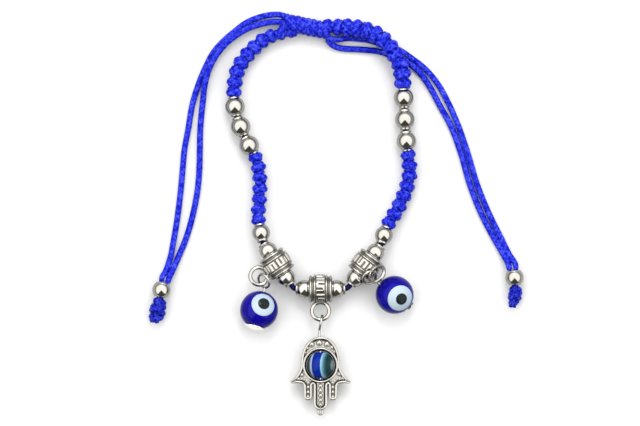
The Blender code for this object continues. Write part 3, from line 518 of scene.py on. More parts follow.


# Cord tones from low to high: painted shade in the grooves, the cord's own blue, and a painted satin
# highlight.
BLUE = ((0.0003, 0.001, 0.13), (0.0013, 0.0046, 0.3), (0.039, 0.056, 0.47))
# The end knots, the same cord, take a darker copy of its tones: painted shade.
SHADED_END_BLUE = [shaded(tone, 0.72) for tone in BLUE]
# Near-black tones for the core cord: painted shade, so that it reads as shadow in the gaps between bails and
# beads.
CORE_SHADE_BLUE = ((0.0005, 0.0004, 0.0065), (0.001, 0.001, 0.023), (0.0026, 0.0026, 0.058))
cord_blue = cord_material("braided_cord", BLUE, pitch=0.9, strength=0.9)
knot_blue = cord_material("knotted_cord", BLUE, pitch=0.75, strength=0.9)
shaded_end_blue = cord_material("end_knot_cord_painted_shade", SHADED_END_BLUE, pitch=0.75, strength=0.9)
core_shade_blue = cord_material("core_cord_painted_shade", CORE_SHADE_BLUE, pitch=0.9, strength=0.6)
SILVER, ANTIQUE, LIT_SILVER = (0.3, 0.29, 0.265), (0.33, 0.32, 0.292), (0.85, 0.83, 0.78)
ANTIQUE_DARK, CAST_DARK = (0.145, 0.135, 0.116), (0.02, 0.018, 0.015)
silver = metal_material("polished_silver", SILVER, roughness=0.05, grain=0.03)
antique = metal_material("antiqued_silver", ANTIQUE, roughness=0.09, grain=0.08, dark=ANTIQUE_DARK)
cast = metal_material("cast_silver", SILVER, roughness=0.16, grain=0.1, dark=CAST_DARK)
# A lit copy of the silver for the left pin head only: painted light for the white patch on that head.
bright = metal_material("silver_painted_light", LIT_SILVER, roughness=0.12, grain=0.03)
# Each glass's edge tone is painted: shade on the cobalt ball and the white dot, a glint on the black pupil.
cobalt = glass_material("cobalt_glass_body", deep=(0.003, 0.0012, 0.17), painted_edge=(0.002, 0.0014, 0.055))
white_glass = glass_material("white_glass_dot", deep=(0.28, 0.335, 0.365), painted_edge=(0.16, 0.24, 0.39))
black_glass = glass_material("black_glass_dot", deep=(0.004, 0.006, 0.006), painted_edge=(0.02, 0.04, 0.05))


def place(item, body, slot, *nodes):
    """A piece that rides on a body and stands for its CAD nodes, which it hides; the slot is not used."""
    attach(item, body)
    if nodes:
        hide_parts(*nodes)
    return item


# Cords, bands and the sliding knot

side_route, look_route = {}, {}
for s in BOTH:
    begin = {0: bail_place(s)[1]}
    side_route[s] = Route(smooth_route(side_points(s), begin))
    look_route[s] = Route(smooth_route(side_points(s) + [Vector(BAND_TUCK[s]) * MM + OFFSET], begin))


def make_core():
    """The cord that everything is threaded on; it shows between the bails and beads, where its near-black
    colour is painted shade.
    """
    points = list(reversed(side_points("left")))
    tangents = {len(points) - 1: -bail_place("left")[1]}
    for side, sign in (("left", 1), ("centre", -1), ("centre", 1), ("right", -1)):
        centre, direction = bail_place(side)
        inner = -direction if side == "left" else direction
        points.append(centre + inner * sign * BAIL_LENGTH / 2)
        tangents[len(points) - 1] = inner
    tangents[len(points)] = bail_place("right")[1]
    route = Route(smooth_route(points + side_points("right"), tangents))
    shape = Shape()
    shape.tube([route.point(s) for s in np.arange(0.0, route.length, 0.5 * MM)], CORD / 2)
    shape.look("core_cord", core_shade_blue, "loop", "cord")


def bead_half(diameter, collar):
    return math.sqrt((diameter / 2) ** 2 - (collar / 2) ** 2) + COLLAR_LENGTH


END_HALF = bead_half(END_BEAD, END_COLLAR)
TAIL_RADIUS, TAIL_FLAT, TAIL_CLEAR = 0.68 * MM, 0.93, 0.008 * MM
TAIL_THIN, TAIL_GROW, TAIL_SHRINK, TAIL_TIP = 0.38 * MM, 2.0 * MM, 1.6 * MM, 0.4


def make_tail(name):
    """A tail strand from the far band through the knot, then loose on the table to its end bead."""
    side, _, layer = name.split("_")
    sign = -1 if side == "left" else 1
    level = 1 if layer == "upper" else -1
    half = KNOT_TURNS * KNOT_PITCH / 2
    start = Vector((*STRAND_START[side], START_HEIGHT[layer])) * MM + OFFSET
    start += Vector((-sign * START_PULL, -START_DROP, 0)) * MM
    inside = [knot_point(end * sign * half, -sign * KNOT_PACK, level * KNOT_PACK) for end in (-1, 1)]
    loose = [Vector((*p, STRAND_REST)[:3]) * MM + OFFSET for p in STRAND_ROUTE[name]]
    centre, direction = spin_place(f"{side}_end_bead")
    across = Vector((-direction.y, direction.x, 0)) * sign * level
    end = centre - direction * (END_HALF + STRAND_END_GAP) + across * STRAND_SPREAD
    end += Vector((-sign * END_SHIFT, 0, 0))
    tip = centre - direction * END_HALF * TIP_DEPTH + across * STRAND_SPREAD * TIP_SPREAD
    points = [start] + inside + loose + [end, tip]
    through = inside[1] - inside[0]
    dense = smooth_route(points, {1: through, 2: through, len(points) - 2: direction})
    route = Route(dense)
    held = Route(dense[: 2 * STEPS + 1]).length
    stations = np.arange(0.0, route.length, 0.4 * MM)
    path = [route.point(s) for s in stations]
    for spot in path:
        spot.z = max(spot.z, TAIL_RADIUS * TAIL_FLAT + TAIL_CLEAR)
    grow = np.clip((stations - held) / TAIL_GROW, 0, 1)
    shrink = np.clip((route.length - stations) / TAIL_SHRINK, 0, 1)
    full = np.minimum(grow, shrink * (1 - TAIL_TIP) + TAIL_TIP)
    shape = Shape()
    shape.tube(path, TAIL_THIN + (TAIL_RADIUS - TAIL_THIN) * full, 12, flat=TAIL_FLAT)
    return shape.look(name, cord_blue, "loop", "cord"), route, path


LOWER_BUMP, UPPER_BUMP = 0.66 * MM, 0.84 * MM
UPPER_WIDTH = {"left": 3.5 * MM, "right": 3.95 * MM}
LOWER_WIDTH = {"left": 3.35 * MM, "right": 3.5 * MM}
LOWER_ENDS = (0.94,)
UPPER_ENDS = {"left": (0.95, 0.86, 0.74, 0.6), "right": (0.92, 0.8)}
FIRST_LOBE, LOBE_LEAN, LOBE_HEIGHT, LOBE_CROWN, LOBE_TUCK = 0.94, 0.3 * MM, 0.92, 0.14, 0.9
OVER_CORD, OVER_INSET, OVER_RISE, OVER_LEAN, OVER_ROUND = 0.46 * MM, 0.62 * MM, 0.62, 2.4, 0.86
NOTCH_CORD, NOTCH_INSET, NOTCH_LEAN, NOTCH_HEIGHT = 0.44 * MM, 0.94 * MM, 2, 1.05
BAND_POINTS, BAND_WOBBLE, BAND_REACH = 48, 0.03, 0.1 * MM
INNER_INSET, INNER_SHARE, UPPER_STOP = 0.3 * MM, 0.9, 0.2 * MM


def make_band(name, route, start, end, width, bump, ends):
    """Square-knot band: plump lobes with round side bumps, and a smaller crossing in each notch."""
    lobes = max(3, round((end - start) / LOBE_PITCH))
    pitch = (end - start - 2 * bump) / (lobes - 1)
    sizes = [FIRST_LOBE] + [1.0] * (lobes - len(ends) - 1) + list(ends)
    turn = np.arange(BAND_POINTS) / BAND_POINTS * math.tau
    thick = width / 2 - bump
    shape = Shape()

    def add_ring(middle, lean, wide, high, phase, radius, sides, begin):
        points = []
        for a in turn:
            across, lift = math.cos(a), math.sin(a)
            s = middle + lean * across * abs(lift)
            aside, up = route.across(s)
            wobble = 1.0 + BAND_WOBBLE * math.sin(3 * a + phase)
            points.append(route.point(s) + aside * wide * across * wobble + up * high * lift * wobble)
        normals = [route.direction(middle)] * BAND_POINTS
        shape.tube(points, radius, sides, closed=True, up=normals, start=begin)

    for k, size in enumerate(sizes):
        middle = start + bump + pitch * k
        lean = LOBE_LEAN if k % 2 else -LOBE_LEAN
        high = thick * size * LOBE_HEIGHT
        fat = bump * (1.0 + LOBE_CROWN * np.sin(turn) ** 2) * (0.5 + 0.5 * size)
        add_ring(middle, lean, (width / 2 - bump * LOBE_TUCK) * size, high, 2.1 * k, fat, 14, k * 3.1)
        over = []
        for t in np.linspace(-1.0, 1.0, 18):
            s = middle - OVER_LEAN * lean * t
            aside, up = route.across(s)
            rise = (high + bump * OVER_RISE) * math.sqrt(max(0.0, 1 - (OVER_ROUND * t) ** 2))
            over.append(route.point(s) + aside * (width / 2 - OVER_INSET) * size * t + up * rise)
        shape.tube(over, OVER_CORD, start=k * 2.3)
        if k:
            wide = (width / 2 - NOTCH_INSET) * min(size, sizes[k - 1])
            high = wide * NOTCH_HEIGHT
            add_ring(middle - pitch / 2, -NOTCH_LEAN * lean, wide, high, 1.3 * k, NOTCH_CORD, 10, k * 1.7)
    inner = [route.point(s) for s in np.linspace(start + INNER_INSET, end - INNER_INSET, 40)]
    shape.tube(inner, np.linspace(1.0, 0.4 + 0.6 * sizes[-1], 40) * thick * INNER_SHARE, 14)
    shape.look(name, knot_blue, "loop", "cord", weld=False)


COIL_RADIUS, COIL_CORD, COIL_FLAT, COIL_LEAN = 1.46 * MM, 0.71 * MM, 0.74, 0.25 * MM
COIL_BEFORE, COIL_AFTER = 2.5 * MM, 0.5 * MM
COIL_POINTS, COIL_TUCK, TUCK_POINTS, COIL_WOBBLE = 36, 0.35, 14, 0.035


def make_knot():
    """The sliding knot: one cord wound tightly round the four strands, its ends tucked under."""
    first = -KNOT_TURNS * KNOT_PITCH / 2 - COIL_BEFORE
    last = KNOT_TURNS * KNOT_PITCH / 2 + COIL_AFTER
    count = round((last - first) / KNOT_PITCH * COIL_POINTS)
    coil, outward = [], []
    for k in range(count + 1):
        angle = math.tau * k / COIL_POINTS + math.pi / 2
        tuck = 1 - COIL_TUCK * max(0.0, 1 - min(k, count - k) / TUCK_POINTS)
        reach = COIL_RADIUS * tuck * (1 + COIL_WOBBLE * math.sin(angle * 0.37 + 1.0))
        along = first + (last - first) * k / count + COIL_LEAN * math.sin(angle)
        coil.append(knot_point(along, reach * math.cos(angle), reach * math.sin(angle)))
        outward.append(coil[-1] - knot_point(along, 0.0, 0.0))
    shape = Shape()
    shape.tube(coil, COIL_CORD, 14, flat=COIL_FLAT, up=outward)
    shape.look("sliding_knot", knot_blue, "loop", "cord")


# Length, bend, taper and width of each end knot; the width and its wobble are in millimetres
END_KNOT = {"left": (5.9 * MM, 0.0, 0.06, 1.22), "right": (5.1 * MM, -0.75 * MM, 0.5, 1.08)}
END_GAP, END_CORD, END_TURNS, END_POINTS = 0.12 * MM, 0.64 * MM, 2, 32
END_TUCK, END_TUCK_SHARE, END_WOBBLE, END_FLAT, END_STEM = 0.42, 0.15, 0.12, 0.95, 0.85 * MM


def make_end_knot(side):
    """The knot that stops the end bead: two crossing coils of fat cord pulled into a lump."""
    centre, axis = spin_place(f"{side}_end_bead")
    aside = UP.cross(axis).normalized()
    up = axis.cross(aside)
    length, bend, taper, wide = END_KNOT[side]
    start = END_HALF + END_GAP
    count = END_TURNS * END_POINTS
    shape = Shape()
    for hand, phase in ((-1, 0.9), (1, 2.9)):
        path = []
        for k in range(count + 1):
            a = hand * math.tau * k / END_POINTS + phase
            t = k / count
            tuck = 1 - END_TUCK * max(0.0, 1 - min(t, 1 - t) / END_TUCK_SHARE)
            reach = (wide * (1 - taper * t * t) + END_WOBBLE * math.sin(a * 0.9 + 0.6)) * tuck * MM
            along = start + 1.1 * END_CORD + (length - 2.2 * END_CORD) * t
            path.append(centre + axis * along + aside * (reach * math.cos(a) + bend * t * t)
                        + up * reach * END_FLAT * math.sin(a))
        shape.tube(path, END_CORD * np.linspace(1.0, 1 - 0.35 * taper, len(path)), 12, start=hand * 0.6)
    inner = [centre + axis * s + aside * bend * max(0.0, (s - start) / length) ** 2
             for s in np.linspace(-END_HALF * 0.7, start + length - 0.3 * MM, 24)]
    shape.tube(inner, END_STEM * np.linspace(1.0, 1 - 0.5 * taper, 24), 12)
    return shape.look(f"{side}_end_knot", shaded_end_blue, "loop", "cord", weld=False)


# Turned metal and glass

SHOULDER_LIP, END_LIP, LIP_GAP = 0.22 * MM, -0.08 * MM, 0.08 * MM
LIP_STEPS = 6


def make_bead(name, diameter, collar, bore, more):
    """Round bead with a rolled collar at each end; more is how far it stands out past the solid's."""
    radius = diameter / 2
    neck = bead_half(diameter, collar) - COLLAR_LENGTH
    cut = math.acos(neck / radius)
    wall = (collar - bore) / 4
    outer = []
    for i in range(LIP_STEPS + 1):
        a = math.pi - math.pi * i / LIP_STEPS
        height = neck + (COLLAR_LENGTH + more) * (0.2 + 0.8 * math.sin(a))
        outer.append((bore / 2 + wall + wall * math.cos(a), height))
    profile = outer + dome(radius, cut, math.pi - cut, 36) + mirrored(outer)
    shape = Shape()
    shape.lathe(profile + [(bore / 2, 0.0), outer[0]], 64)
    shape.look(name, silver, name, "silver", *spin_place(name))


# The key pattern's raised cells, and how far a raised line spreads past its cell and fades
KEY = ("101110", "101010", "101010", "101010", "111010")
KEY_COLUMNS, KEY_ROWS = len(KEY[0]), len(KEY)
KEY_SPREAD, KEY_REACH, KEY_EDGE, KEY_LINE = 0.2, 0.035, 0.17, 0.11
KEY_SOFT_ALONG, KEY_SOFT_ACROSS = 0.1, 0.014
KEY_REPEATS, KEY_DEPTH, KEY_DULL = 6, 0.34 * MM, 1.15
KEY_TURN = {"left": 0.42, "centre": 0.1, "right": 0.27}
# Radius and height in millimetres, and dullness, of a bail's lip and of its flanges and groove
BAIL_LIP = [(0.95, 4.95, 0.9), (0.95, 5.35, 0.6), (1.05, 5.43, 0), (1.2, 5.45, 0), (1.3, 5.37, 0),
            (1.3, 5.19, 0.3), (1.22, 5.05, 0.9)]
BAIL_FLANGE = [(2.5, 2.57, 0.5), (2.78, 2.49, 0.1), (2.95, 2.37, 0), (3.06, 2.21, 0), (3.05, 2.05, 0),
               (2.95, 1.97, 0.2), (2.72, 1.87, 0.95), (2.7, 1.7, 1), (2.72, 1.57, 1), (3.0, 1.48, 0.5)]
BAIL_BALL, BAIL_BORE, BAIL_MOUTH, BAIL_SHOULDER = 2.0 * MM, 0.95 * MM, 1.3 * MM, 2.55 * MM
BAIL_BAND, BAIL_GROOVE, BALL_POINTS = 3.2 * MM, 1.45 * MM, 20
BAIL_SEGMENTS, BAIL_ROWS = 192, 56
EDGE_ROUND = (0.1 * MM, 0.03 * MM)


def key_height(cells, across):
    """Height of the band, 0 to 1: a raised line along each edge and the key pattern between them."""
    column = (cells % 1.0) * KEY_COLUMNS
    total = np.zeros_like(column)
    table = np.array([[float(c) for c in row] for row in KEY])
    for soft_along in (-KEY_SOFT_ALONG, 0.0, KEY_SOFT_ALONG):
        for soft_across in (-KEY_SOFT_ACROSS, 0.0, KEY_SOFT_ACROSS):
            spot = across + soft_across
            raised = np.zeros_like(column)
            for spread in (-KEY_SPREAD, 0.0, KEY_SPREAD):
                for reach in (-KEY_REACH, 0.0, KEY_REACH):
                    c = ((column + soft_along + spread) % KEY_COLUMNS).astype(int)
                    r = (spot + reach - KEY_EDGE) / (1 - 2 * KEY_EDGE) * KEY_ROWS
                    r = np.clip(r, 0, KEY_ROWS - 0.001).astype(int)
                    raised = np.maximum(raised, table[r, c])
            inside = np.abs(spot - 0.5)
            raised = np.where(inside > 0.5 - KEY_EDGE, 0.0, raised)
            total += np.where(inside > 0.5 - KEY_LINE, 1.0, raised)
    return total / 9


def make_bail(side):
    """Tube bead with ball ends, flanges, a raised key pattern round its band and a cast ring."""
    ball_centre = BAIL_LENGTH / 2 - math.sqrt(BAIL_BALL**2 - BAIL_BORE**2)
    last = math.acos((BAIL_SHOULDER - ball_centre) / BAIL_BALL)
    ball = dome(BAIL_BALL, math.asin(BAIL_MOUTH / BAIL_BALL), last, BALL_POINTS)
    lip, lip_dull = turned(BAIL_LIP)
    flange, flange_dull = turned(BAIL_FLANGE)
    half = lip + [(r, ball_centre + z) for r, z in ball] + flange
    dull = lip_dull + [0.0] * BALL_POINTS + flange_dull
    across = np.linspace(0, 1, BAIL_ROWS)
    cells = np.arange(BAIL_SEGMENTS) / BAIL_SEGMENTS * KEY_REPEATS + KEY_TURN[side]
    height = key_height(*np.broadcast_arrays(cells[None, :], across[:, None]))
    profile, recess = list(half), list(dull)
    for k in range(BAIL_ROWS):
        edge = min(k, BAIL_ROWS - 1 - k)
        round_off = EDGE_ROUND[edge] if edge < len(EDGE_ROUND) else 0.0
        radius = BAIL_BAND - KEY_DEPTH * (1 - height[k]) - round_off
        profile.append((radius, BAIL_GROOVE - 2 * BAIL_GROOVE * across[k]))
        recess.append(np.clip(KEY_DULL * (1 - height[k]), 0, 1))
    profile += mirrored(half) + half[:1]
    recess += list(reversed(dull)) + dull[:1]
    shape = Shape()
    shape.lathe(profile, BAIL_SEGMENTS, recess)
    name = f"{side}_bail"
    shape.look(name, antique, name, "antique_silver", *bail_place(side))
    centre, normal = ring_place(side)
    ring = Shape()
    ring.tube(circle(centre, normal, RING_RADIUS, 72), RING_WIRE, 16, closed=True, up=[normal] * 72)
    place(ring.build(f"{name}_ring", silver), name, "antique_silver")


EYE_DIRECTION = {"left": (0.27, 0.365, 0.895), "right": (0.35, -0.21, 0.91)}
EYE_WHITE = {"left": 2.6 * MM, "right": 2.86 * MM}
EYE_PUPIL, WHITE_PROUD, PUPIL_PROUD = 1.3 * MM, 0.04 * MM, 0.09 * MM
DOT_EDGE = ((0.02 * MM, 0.1 * MM, 0.4 * MM), 0.98)
HEAD_SPREAD = {"left": math.radians(32), "right": math.radians(12)}
HEAD_INSIDE, HEAD_EDGE, HEAD_OUTSIDE = GLASS + 0.1 * MM, GLASS + 0.23 * MM, GLASS + 0.36 * MM


def eye_dot(side, part, reach, proud, gaze, material, slot):
    """A dot of glass let into the ball: a domed disc with a soft edge."""
    radius = GLASS + proud
    limit = math.asin(reach / radius)
    edge = radius * math.cos(limit)
    (soft, side_drop, base_drop), narrow = DOT_EDGE
    profile = dome(radius, 0.0, limit * 0.97, 12)
    profile += [(radius * math.sin(limit) * 0.995, edge - soft), (reach, edge - side_drop),
                (reach * narrow, edge - base_drop)]
    shape = Shape()
    shape.lathe(profile, 64)
    shape.cap_last(64)
    eye = f"{side}_eye"
    shape.look(f"{eye}_{part}", material, eye, slot, spin_place(eye)[0], gaze)


def make_eye(side):
    """Glass ball with its dots, on a head pin whose loop holds the bail's ring."""
    centre, axis = spin_place(f"{side}_eye")
    cut = math.asin(GLASS_BORE / GLASS)
    profile = dome(GLASS, cut, math.pi - cut, 60)
    profile += [(GLASS_BORE * 0.8, -GLASS * 0.95), (GLASS_BORE * 0.8, GLASS * 0.95), profile[0]]
    shape = Shape()
    shape.lathe(profile, 96)
    shape.look(f"{side}_eye_glass", cobalt, f"{side}_eye", "cobalt_glass", centre, axis)
    gaze = Vector(EYE_DIRECTION[side]).normalized()
    eye_dot(side, "white", EYE_WHITE[side], WHITE_PROUD, gaze, white_glass, "white_glass")
    eye_dot(side, "pupil", EYE_PUPIL, PUPIL_PROUD, gaze, black_glass, "black_glass")

    loop_centre = bail_place(side)[0] + Vector(LOOP_OFFSET[side]) * MM
    normal = Vector(LOOP_NORMAL[side]).normalized()
    down = centre - loop_centre
    down = (down - normal * down.dot(normal)).normalized()
    loop = circle(loop_centre, normal, LOOP_RADIUS, 64, down)
    foot = loop[0]
    pin = (centre - foot).normalized()
    wire = loop[2:-1]
    shape = Shape()
    shape.tube(wire, PIN_RADIUS, 12, up=[normal] * len(wire))
    reach = (centre - foot).length + math.sqrt(GLASS**2 - HEAD_RADIUS**2) + SEAT
    shape.tube([foot + pin * reach * t for t in np.linspace(-0.01, 1.0, 30)], PIN_RADIUS, 12)
    shape.look(f"{side}_head_pin", silver, f"{side}_charm", "silver")
    spread = HEAD_SPREAD[side]
    shell = dome(HEAD_OUTSIDE, 0.0, spread, 14) + dome(HEAD_EDGE, spread * 1.03, spread * 1.03, 1)
    head = Shape()
    head.lathe(shell + dome(HEAD_INSIDE, spread, 0.0, 14), 48)
    # The left head takes the lit copy of the silver, painted light; the right head is plain silver.
    finish = bright if side == "left" else silver
    place(head.build(f"{side}_head_pin_head", finish, centre, pin), f"{side}_charm", "silver")


# Hamsa charm, in millimetres from the window's centre

HAND_TOP, HAND_BASE, HAND_DULL, WINDOW = 0.45, -1.0, 0.42, 3.46
# Insets and heights of the hand's raised rim and of the dark line inside it
HAND_RIM = [(0.52, -0.96), (0.54, 0.7), (0.5, 0.88), (0.42, 0.95), (0.27, 0.97), (0.12, 0.95), (0.04, 0.88),
            (0.0, 0.7), (0.02, -0.96)]
HAND_LINE = [(0.84, 0.4), (0.84, 0.458), (0.5, 0.458), (0.5, 0.4)]
HAND_BACK, BACK_RADIUS, BACK_FLAT = [(0.3, -0.98)], 0.24, 0.75
# Radius, height and dullness of the ring round the window; the dullness on its inner wall is painted shade for
# the gap round the bead
BEZEL = [
    (3.44, -1.08, 0.8), (3.52, -1.16, 0), (3.78, -1.16, 0), (3.92, -1.08, 0.2), (3.96, 0.3, 0),
    (3.95, 0.86, 0), (3.88, 1.02, 0), (3.74, 1.09, 0), (3.56, 1.08, 0), (3.43, 1.0, 0), (3.36, 0.86, 0.6),
    (3.3, 0.7, 0.85), (3.15, 0.44, 0.85), (3.14, 0.3, 1), (3.44, 0.1, 1), (3.44, -1.08, 0.8),
]
# Raised dots: x, y and radius
DOTS = [
    (-1.98, 4.6, 0.42), (-0.26, 4.93, 0.44), (1.41, 4.64, 0.42), (-2.95, 3.76, 0.29),
    (2.46, 3.89, 0.29), (-3.39, 2.75, 0.22), (2.99, 2.93, 0.22), (-4.07, -2.13, 0.31),
    (-4.84, -2.98, 0.26), (-5.55, -3.5, 0.16), (-3.61, -3.16, 0.2), (4.09, -1.96, 0.31),
    (4.88, -2.9, 0.26), (5.55, -3.46, 0.16), (3.65, -3.07, 0.2), (-2.68, -3.85, 0.26),
    (-2.7, -4.88, 0.29), (-2.72, -5.94, 0.29), (-2.74, -6.97, 0.29), (0.0, -4.53, 0.31),
    (0.0, -5.61, 0.31), (0.0, -6.67, 0.31), (0.0, -7.72, 0.29), (0.0, -8.69, 0.29),
    (2.68, -3.85, 0.26), (2.7, -4.88, 0.29), (2.72, -5.94, 0.29), (2.74, -6.97, 0.29),
]
DOT_SCALE, DOT_DOME, DOT_SIDES = 1.15, 0.28, 16
# Foot of a dot, as a share of its radius, with height and dullness, and the dullness of its dome
DOT_FOOT = [(1.05, 0.44, 1.0), (1.12, 0.47, 0.75), (1.5, 0.46, 0.7), (1.6, 0.43, 0.9)]
DOME_DULL = [0, 0, 0, 0, 0, 0.3]
TAIL_RING_DROP, TAIL_RING, TAIL_RING_WIRE = 10.25, 0.55, 0.25
PIN_LEAN = Vector((-0.2, -0.98, 0)).normalized()
PIN_SHIFT, PIN_LOOP_DROP, PIN_FOOT = 0.08 * MM, 7.35 * MM, 4.4 * MM
PIN_BEND = ((0, 1.6 * MM, 3.2 * MM), (1.0, 1.1, 0.0))
RESIN, RESIN_BORE, RESIN_DIP = 3.05 * MM, 0.58 * MM, 0.15 * MM
RESIN_AXIS, RESIN_GAZE = Vector((0, -1, 0)), Vector((0.927, 0.0, 0.375))


def arc(centre_x, centre_y, radius, start, end, steps):
    angles = [math.radians(start + (end - start) * i / steps) for i in range(steps + 1)]
    return [(centre_x + radius * math.cos(a), centre_y + radius * math.sin(a)) for a in angles]


def hamsa_outline():
    """The hand's outline, clockwise from the crown."""
    middle, gap, finger = 1.52, 0.32, 1.8
    outer = middle + gap + finger
    tip = finger / 2
    crown = [math.radians(89 - 89 * i / 28) for i in range(29)]
    half = [(4.3 * math.cos(a) ** 0.9, 6.2 * math.sin(a) ** 0.9) for a in crown]
    half += [(4.36, -0.45), (4.55, -1.0), (4.85, -1.6), (5.2, -2.15), (5.62, -2.68), (6.1, -3.18),
             (6.42, -3.47)]
    half += arc(6.38, -3.72, 0.24, 60, -90, 6)
    half += [(5.9, -3.97), (5.3, -3.96), (4.7, -3.96), (4.2, -4.02), (3.88, -4.16), (3.7, -4.4)]
    half += arc(outer - tip, tip - 7.7, tip, 0, -180, 16)
    half += arc(middle + gap / 2, -4.4, gap / 2, 0, 180, 6)
    half += arc(0, middle - 9.9, middle, 0, -89, 12)
    return half + [(-x, y) for x, y in reversed(half)]


def inset(points, distance, widest):
    """The outline moved inwards, by less where the hand is too narrow for the widest inset of that ring."""
    spots = np.array(points)
    ahead = np.roll(spots, -1, 0) - np.roll(spots, 1, 0)
    ahead /= np.linalg.norm(ahead, axis=1)[:, None]
    inward = np.stack([ahead[:, 1], -ahead[:, 0]], axis=1)
    gaps = spots[None, :, :] - spots[:, None, :]
    depth = np.einsum("ijk,ik->ij", gaps, inward)
    room = np.where(depth > 1e-6, (gaps**2).sum(axis=2) / np.maximum(2 * depth, 1e-6), np.inf).min(axis=1)
    share = np.minimum(1.0, 0.9 * room / widest)
    return [tuple(p) for p in spots + inward * (distance * share)[:, None]]


def hand_ring(outline, rows):
    """Closed rows that follow the outline; each row is an inset and a height."""
    widest = max(distance for distance, height in rows)
    return [[(x * MM, y * MM, height * MM) for x, y in inset(outline, distance, widest)]
            for distance, height in rows]


def hand_plate(name, loops):
    """The flat plate of the hand from its outline and its window, dull on its top."""
    low, high = HAND_BASE * MM, HAND_TOP * MM
    edit = bmesh.new()
    edges = []
    for loop in loops:
        verts = [edit.verts.new((x * MM, y * MM, low)) for x, y in loop]
        edges += [edit.edges.new((verts[i], verts[(i + 1) % len(verts)])) for i in range(len(verts))]
    faces = bmesh.ops.triangle_fill(edit, use_beauty=True, edges=edges)["geom"]
    faces = [f for f in faces if isinstance(f, bmesh.types.BMFace)]
    raised = bmesh.ops.extrude_face_region(edit, geom=faces)["geom"]
    bmesh.ops.translate(edit, verts=[v for v in raised if isinstance(v, bmesh.types.BMVert)],
                        vec=(0, 0, high - low))
    bmesh.ops.recalc_face_normals(edit, faces=edit.faces)
    data = bpy.data.meshes.new(name)
    edit.to_mesh(data)
    edit.free()
    data.materials.append(antique)
    set_recess(data, [HAND_DULL if v.co.z > low + 1e-6 else 0.0 for v in data.vertices])
    return new_object(name, data, HAMSA)


def make_hand():
    """The cast hand: plate, rim, ring round the window, dots and the small ring at its tip."""
    outline = hamsa_outline()
    window = arc(0, 0, WINDOW, 0, 360, 72)[:-1]
    place(hand_plate("hamsa_plate", [outline, window]), "hamsa", "antique_silver", "hamsa_frame")

    rim = Shape()
    rim.grid(hand_ring(outline, HAND_RIM), closed_rows=True)
    back = hand_ring(outline, HAND_BACK)[0]
    rim.tube(back, BACK_RADIUS * MM, closed=True, flat=BACK_FLAT, up=[UP] * len(back))
    line = hand_ring(outline, HAND_LINE)
    rim.grid(line, closed_rows=True, recess=[[1.0] * len(outline)] * len(line))
    place(rim.build("hamsa_rim", cast, HAMSA, turn_out=False), "hamsa", "antique_silver")

    bezel = Shape()
    # The inner wall's dullness paints shade into the gap round the bead.
    profile, dull = turned(BEZEL)
    bezel.lathe(profile, 96, dull)
    place(bezel.build("hamsa_bezel", cast, HAMSA), "hamsa", "antique_silver")

    dots = Shape()
    turn = np.arange(DOT_SIDES) / DOT_SIDES * math.tau
    dull = DOME_DULL + [d for _, _, d in DOT_FOOT]
    for x, y, r in DOTS:
        r *= DOT_SCALE
        profile = [(w, HAND_TOP + DOT_DOME * z) for w, z in dome(r, 0, math.pi / 2, len(DOME_DULL))]
        profile += [(w * r, z) for w, z, _ in DOT_FOOT]
        rows = [[((x + max(w, TINY) * math.cos(b)) * MM, (y + max(w, TINY) * math.sin(b)) * MM, z * MM)
                 for b in turn] for w, z in profile]
        dots.grid(rows, recess=[[value] * DOT_SIDES for value in dull])
        dots.cap_last(DOT_SIDES)
    place(dots.build("hamsa_dots", cast, HAMSA), "hamsa", "antique_silver")

    tail = Shape()
    ring = circle(HAMSA + Vector((0, -TAIL_RING_DROP, 0)) * MM, UP, TAIL_RING * MM, 32)
    tail.tube(ring, TAIL_RING_WIRE * MM, closed=True, up=[UP] * 32)
    place(tail.build("hamsa_tail_ring", silver), "hamsa", "antique_silver")


def make_hamsa_pin():
    """The pin through the resin bead; its loop and neck lean, as the hand hangs."""
    centre = Vector((HAMSA.x + PIN_SHIFT, BAIL_CENTRE.y + OFFSET.y - PIN_LOOP_DROP, HAMSA.z))
    normal = (-PIN_LEAN.y, PIN_LEAN.x, 0)
    loop = circle(centre, normal, LOOP_RADIUS, 48, PIN_LEAN)
    wire = loop[1:]
    pin = Shape()
    pin.tube(wire, PIN_RADIUS, 12, up=[normal] * len(wire))
    top = loop[0]
    foot = HAMSA + Vector((0, -PIN_FOOT, 0))
    shank = [top.lerp(foot, t) for t in np.linspace(0, 1, 60)]
    for spot in shank:
        spot.x = HAMSA.x + (top.x - HAMSA.x) * np.interp(top.y - spot.y, *PIN_BEND)
    pin.tube(shank, PIN_RADIUS, 12)
    pin.look("hamsa_pin", cast, "hamsa", "silver")


def make_resin_bead():
    cut = math.asin(2 * RESIN_BORE / RESIN)
    rim = RESIN * math.cos(cut) - RESIN_DIP
    profile = [(RESIN_BORE, rim)] + dome(RESIN, cut, math.pi - cut, 48)
    profile += [(RESIN_BORE, -rim), profile[0]]
    resin = Shape()
    resin.lathe(profile, 96)
    gaze = RESIN_AXIS.to_track_quat("Z", "Y").inverted() @ RESIN_GAZE
    resin.look("hamsa_eye_bead", resin_material(gaze), "hamsa_eye", "resin", HAMSA, RESIN_AXIS)


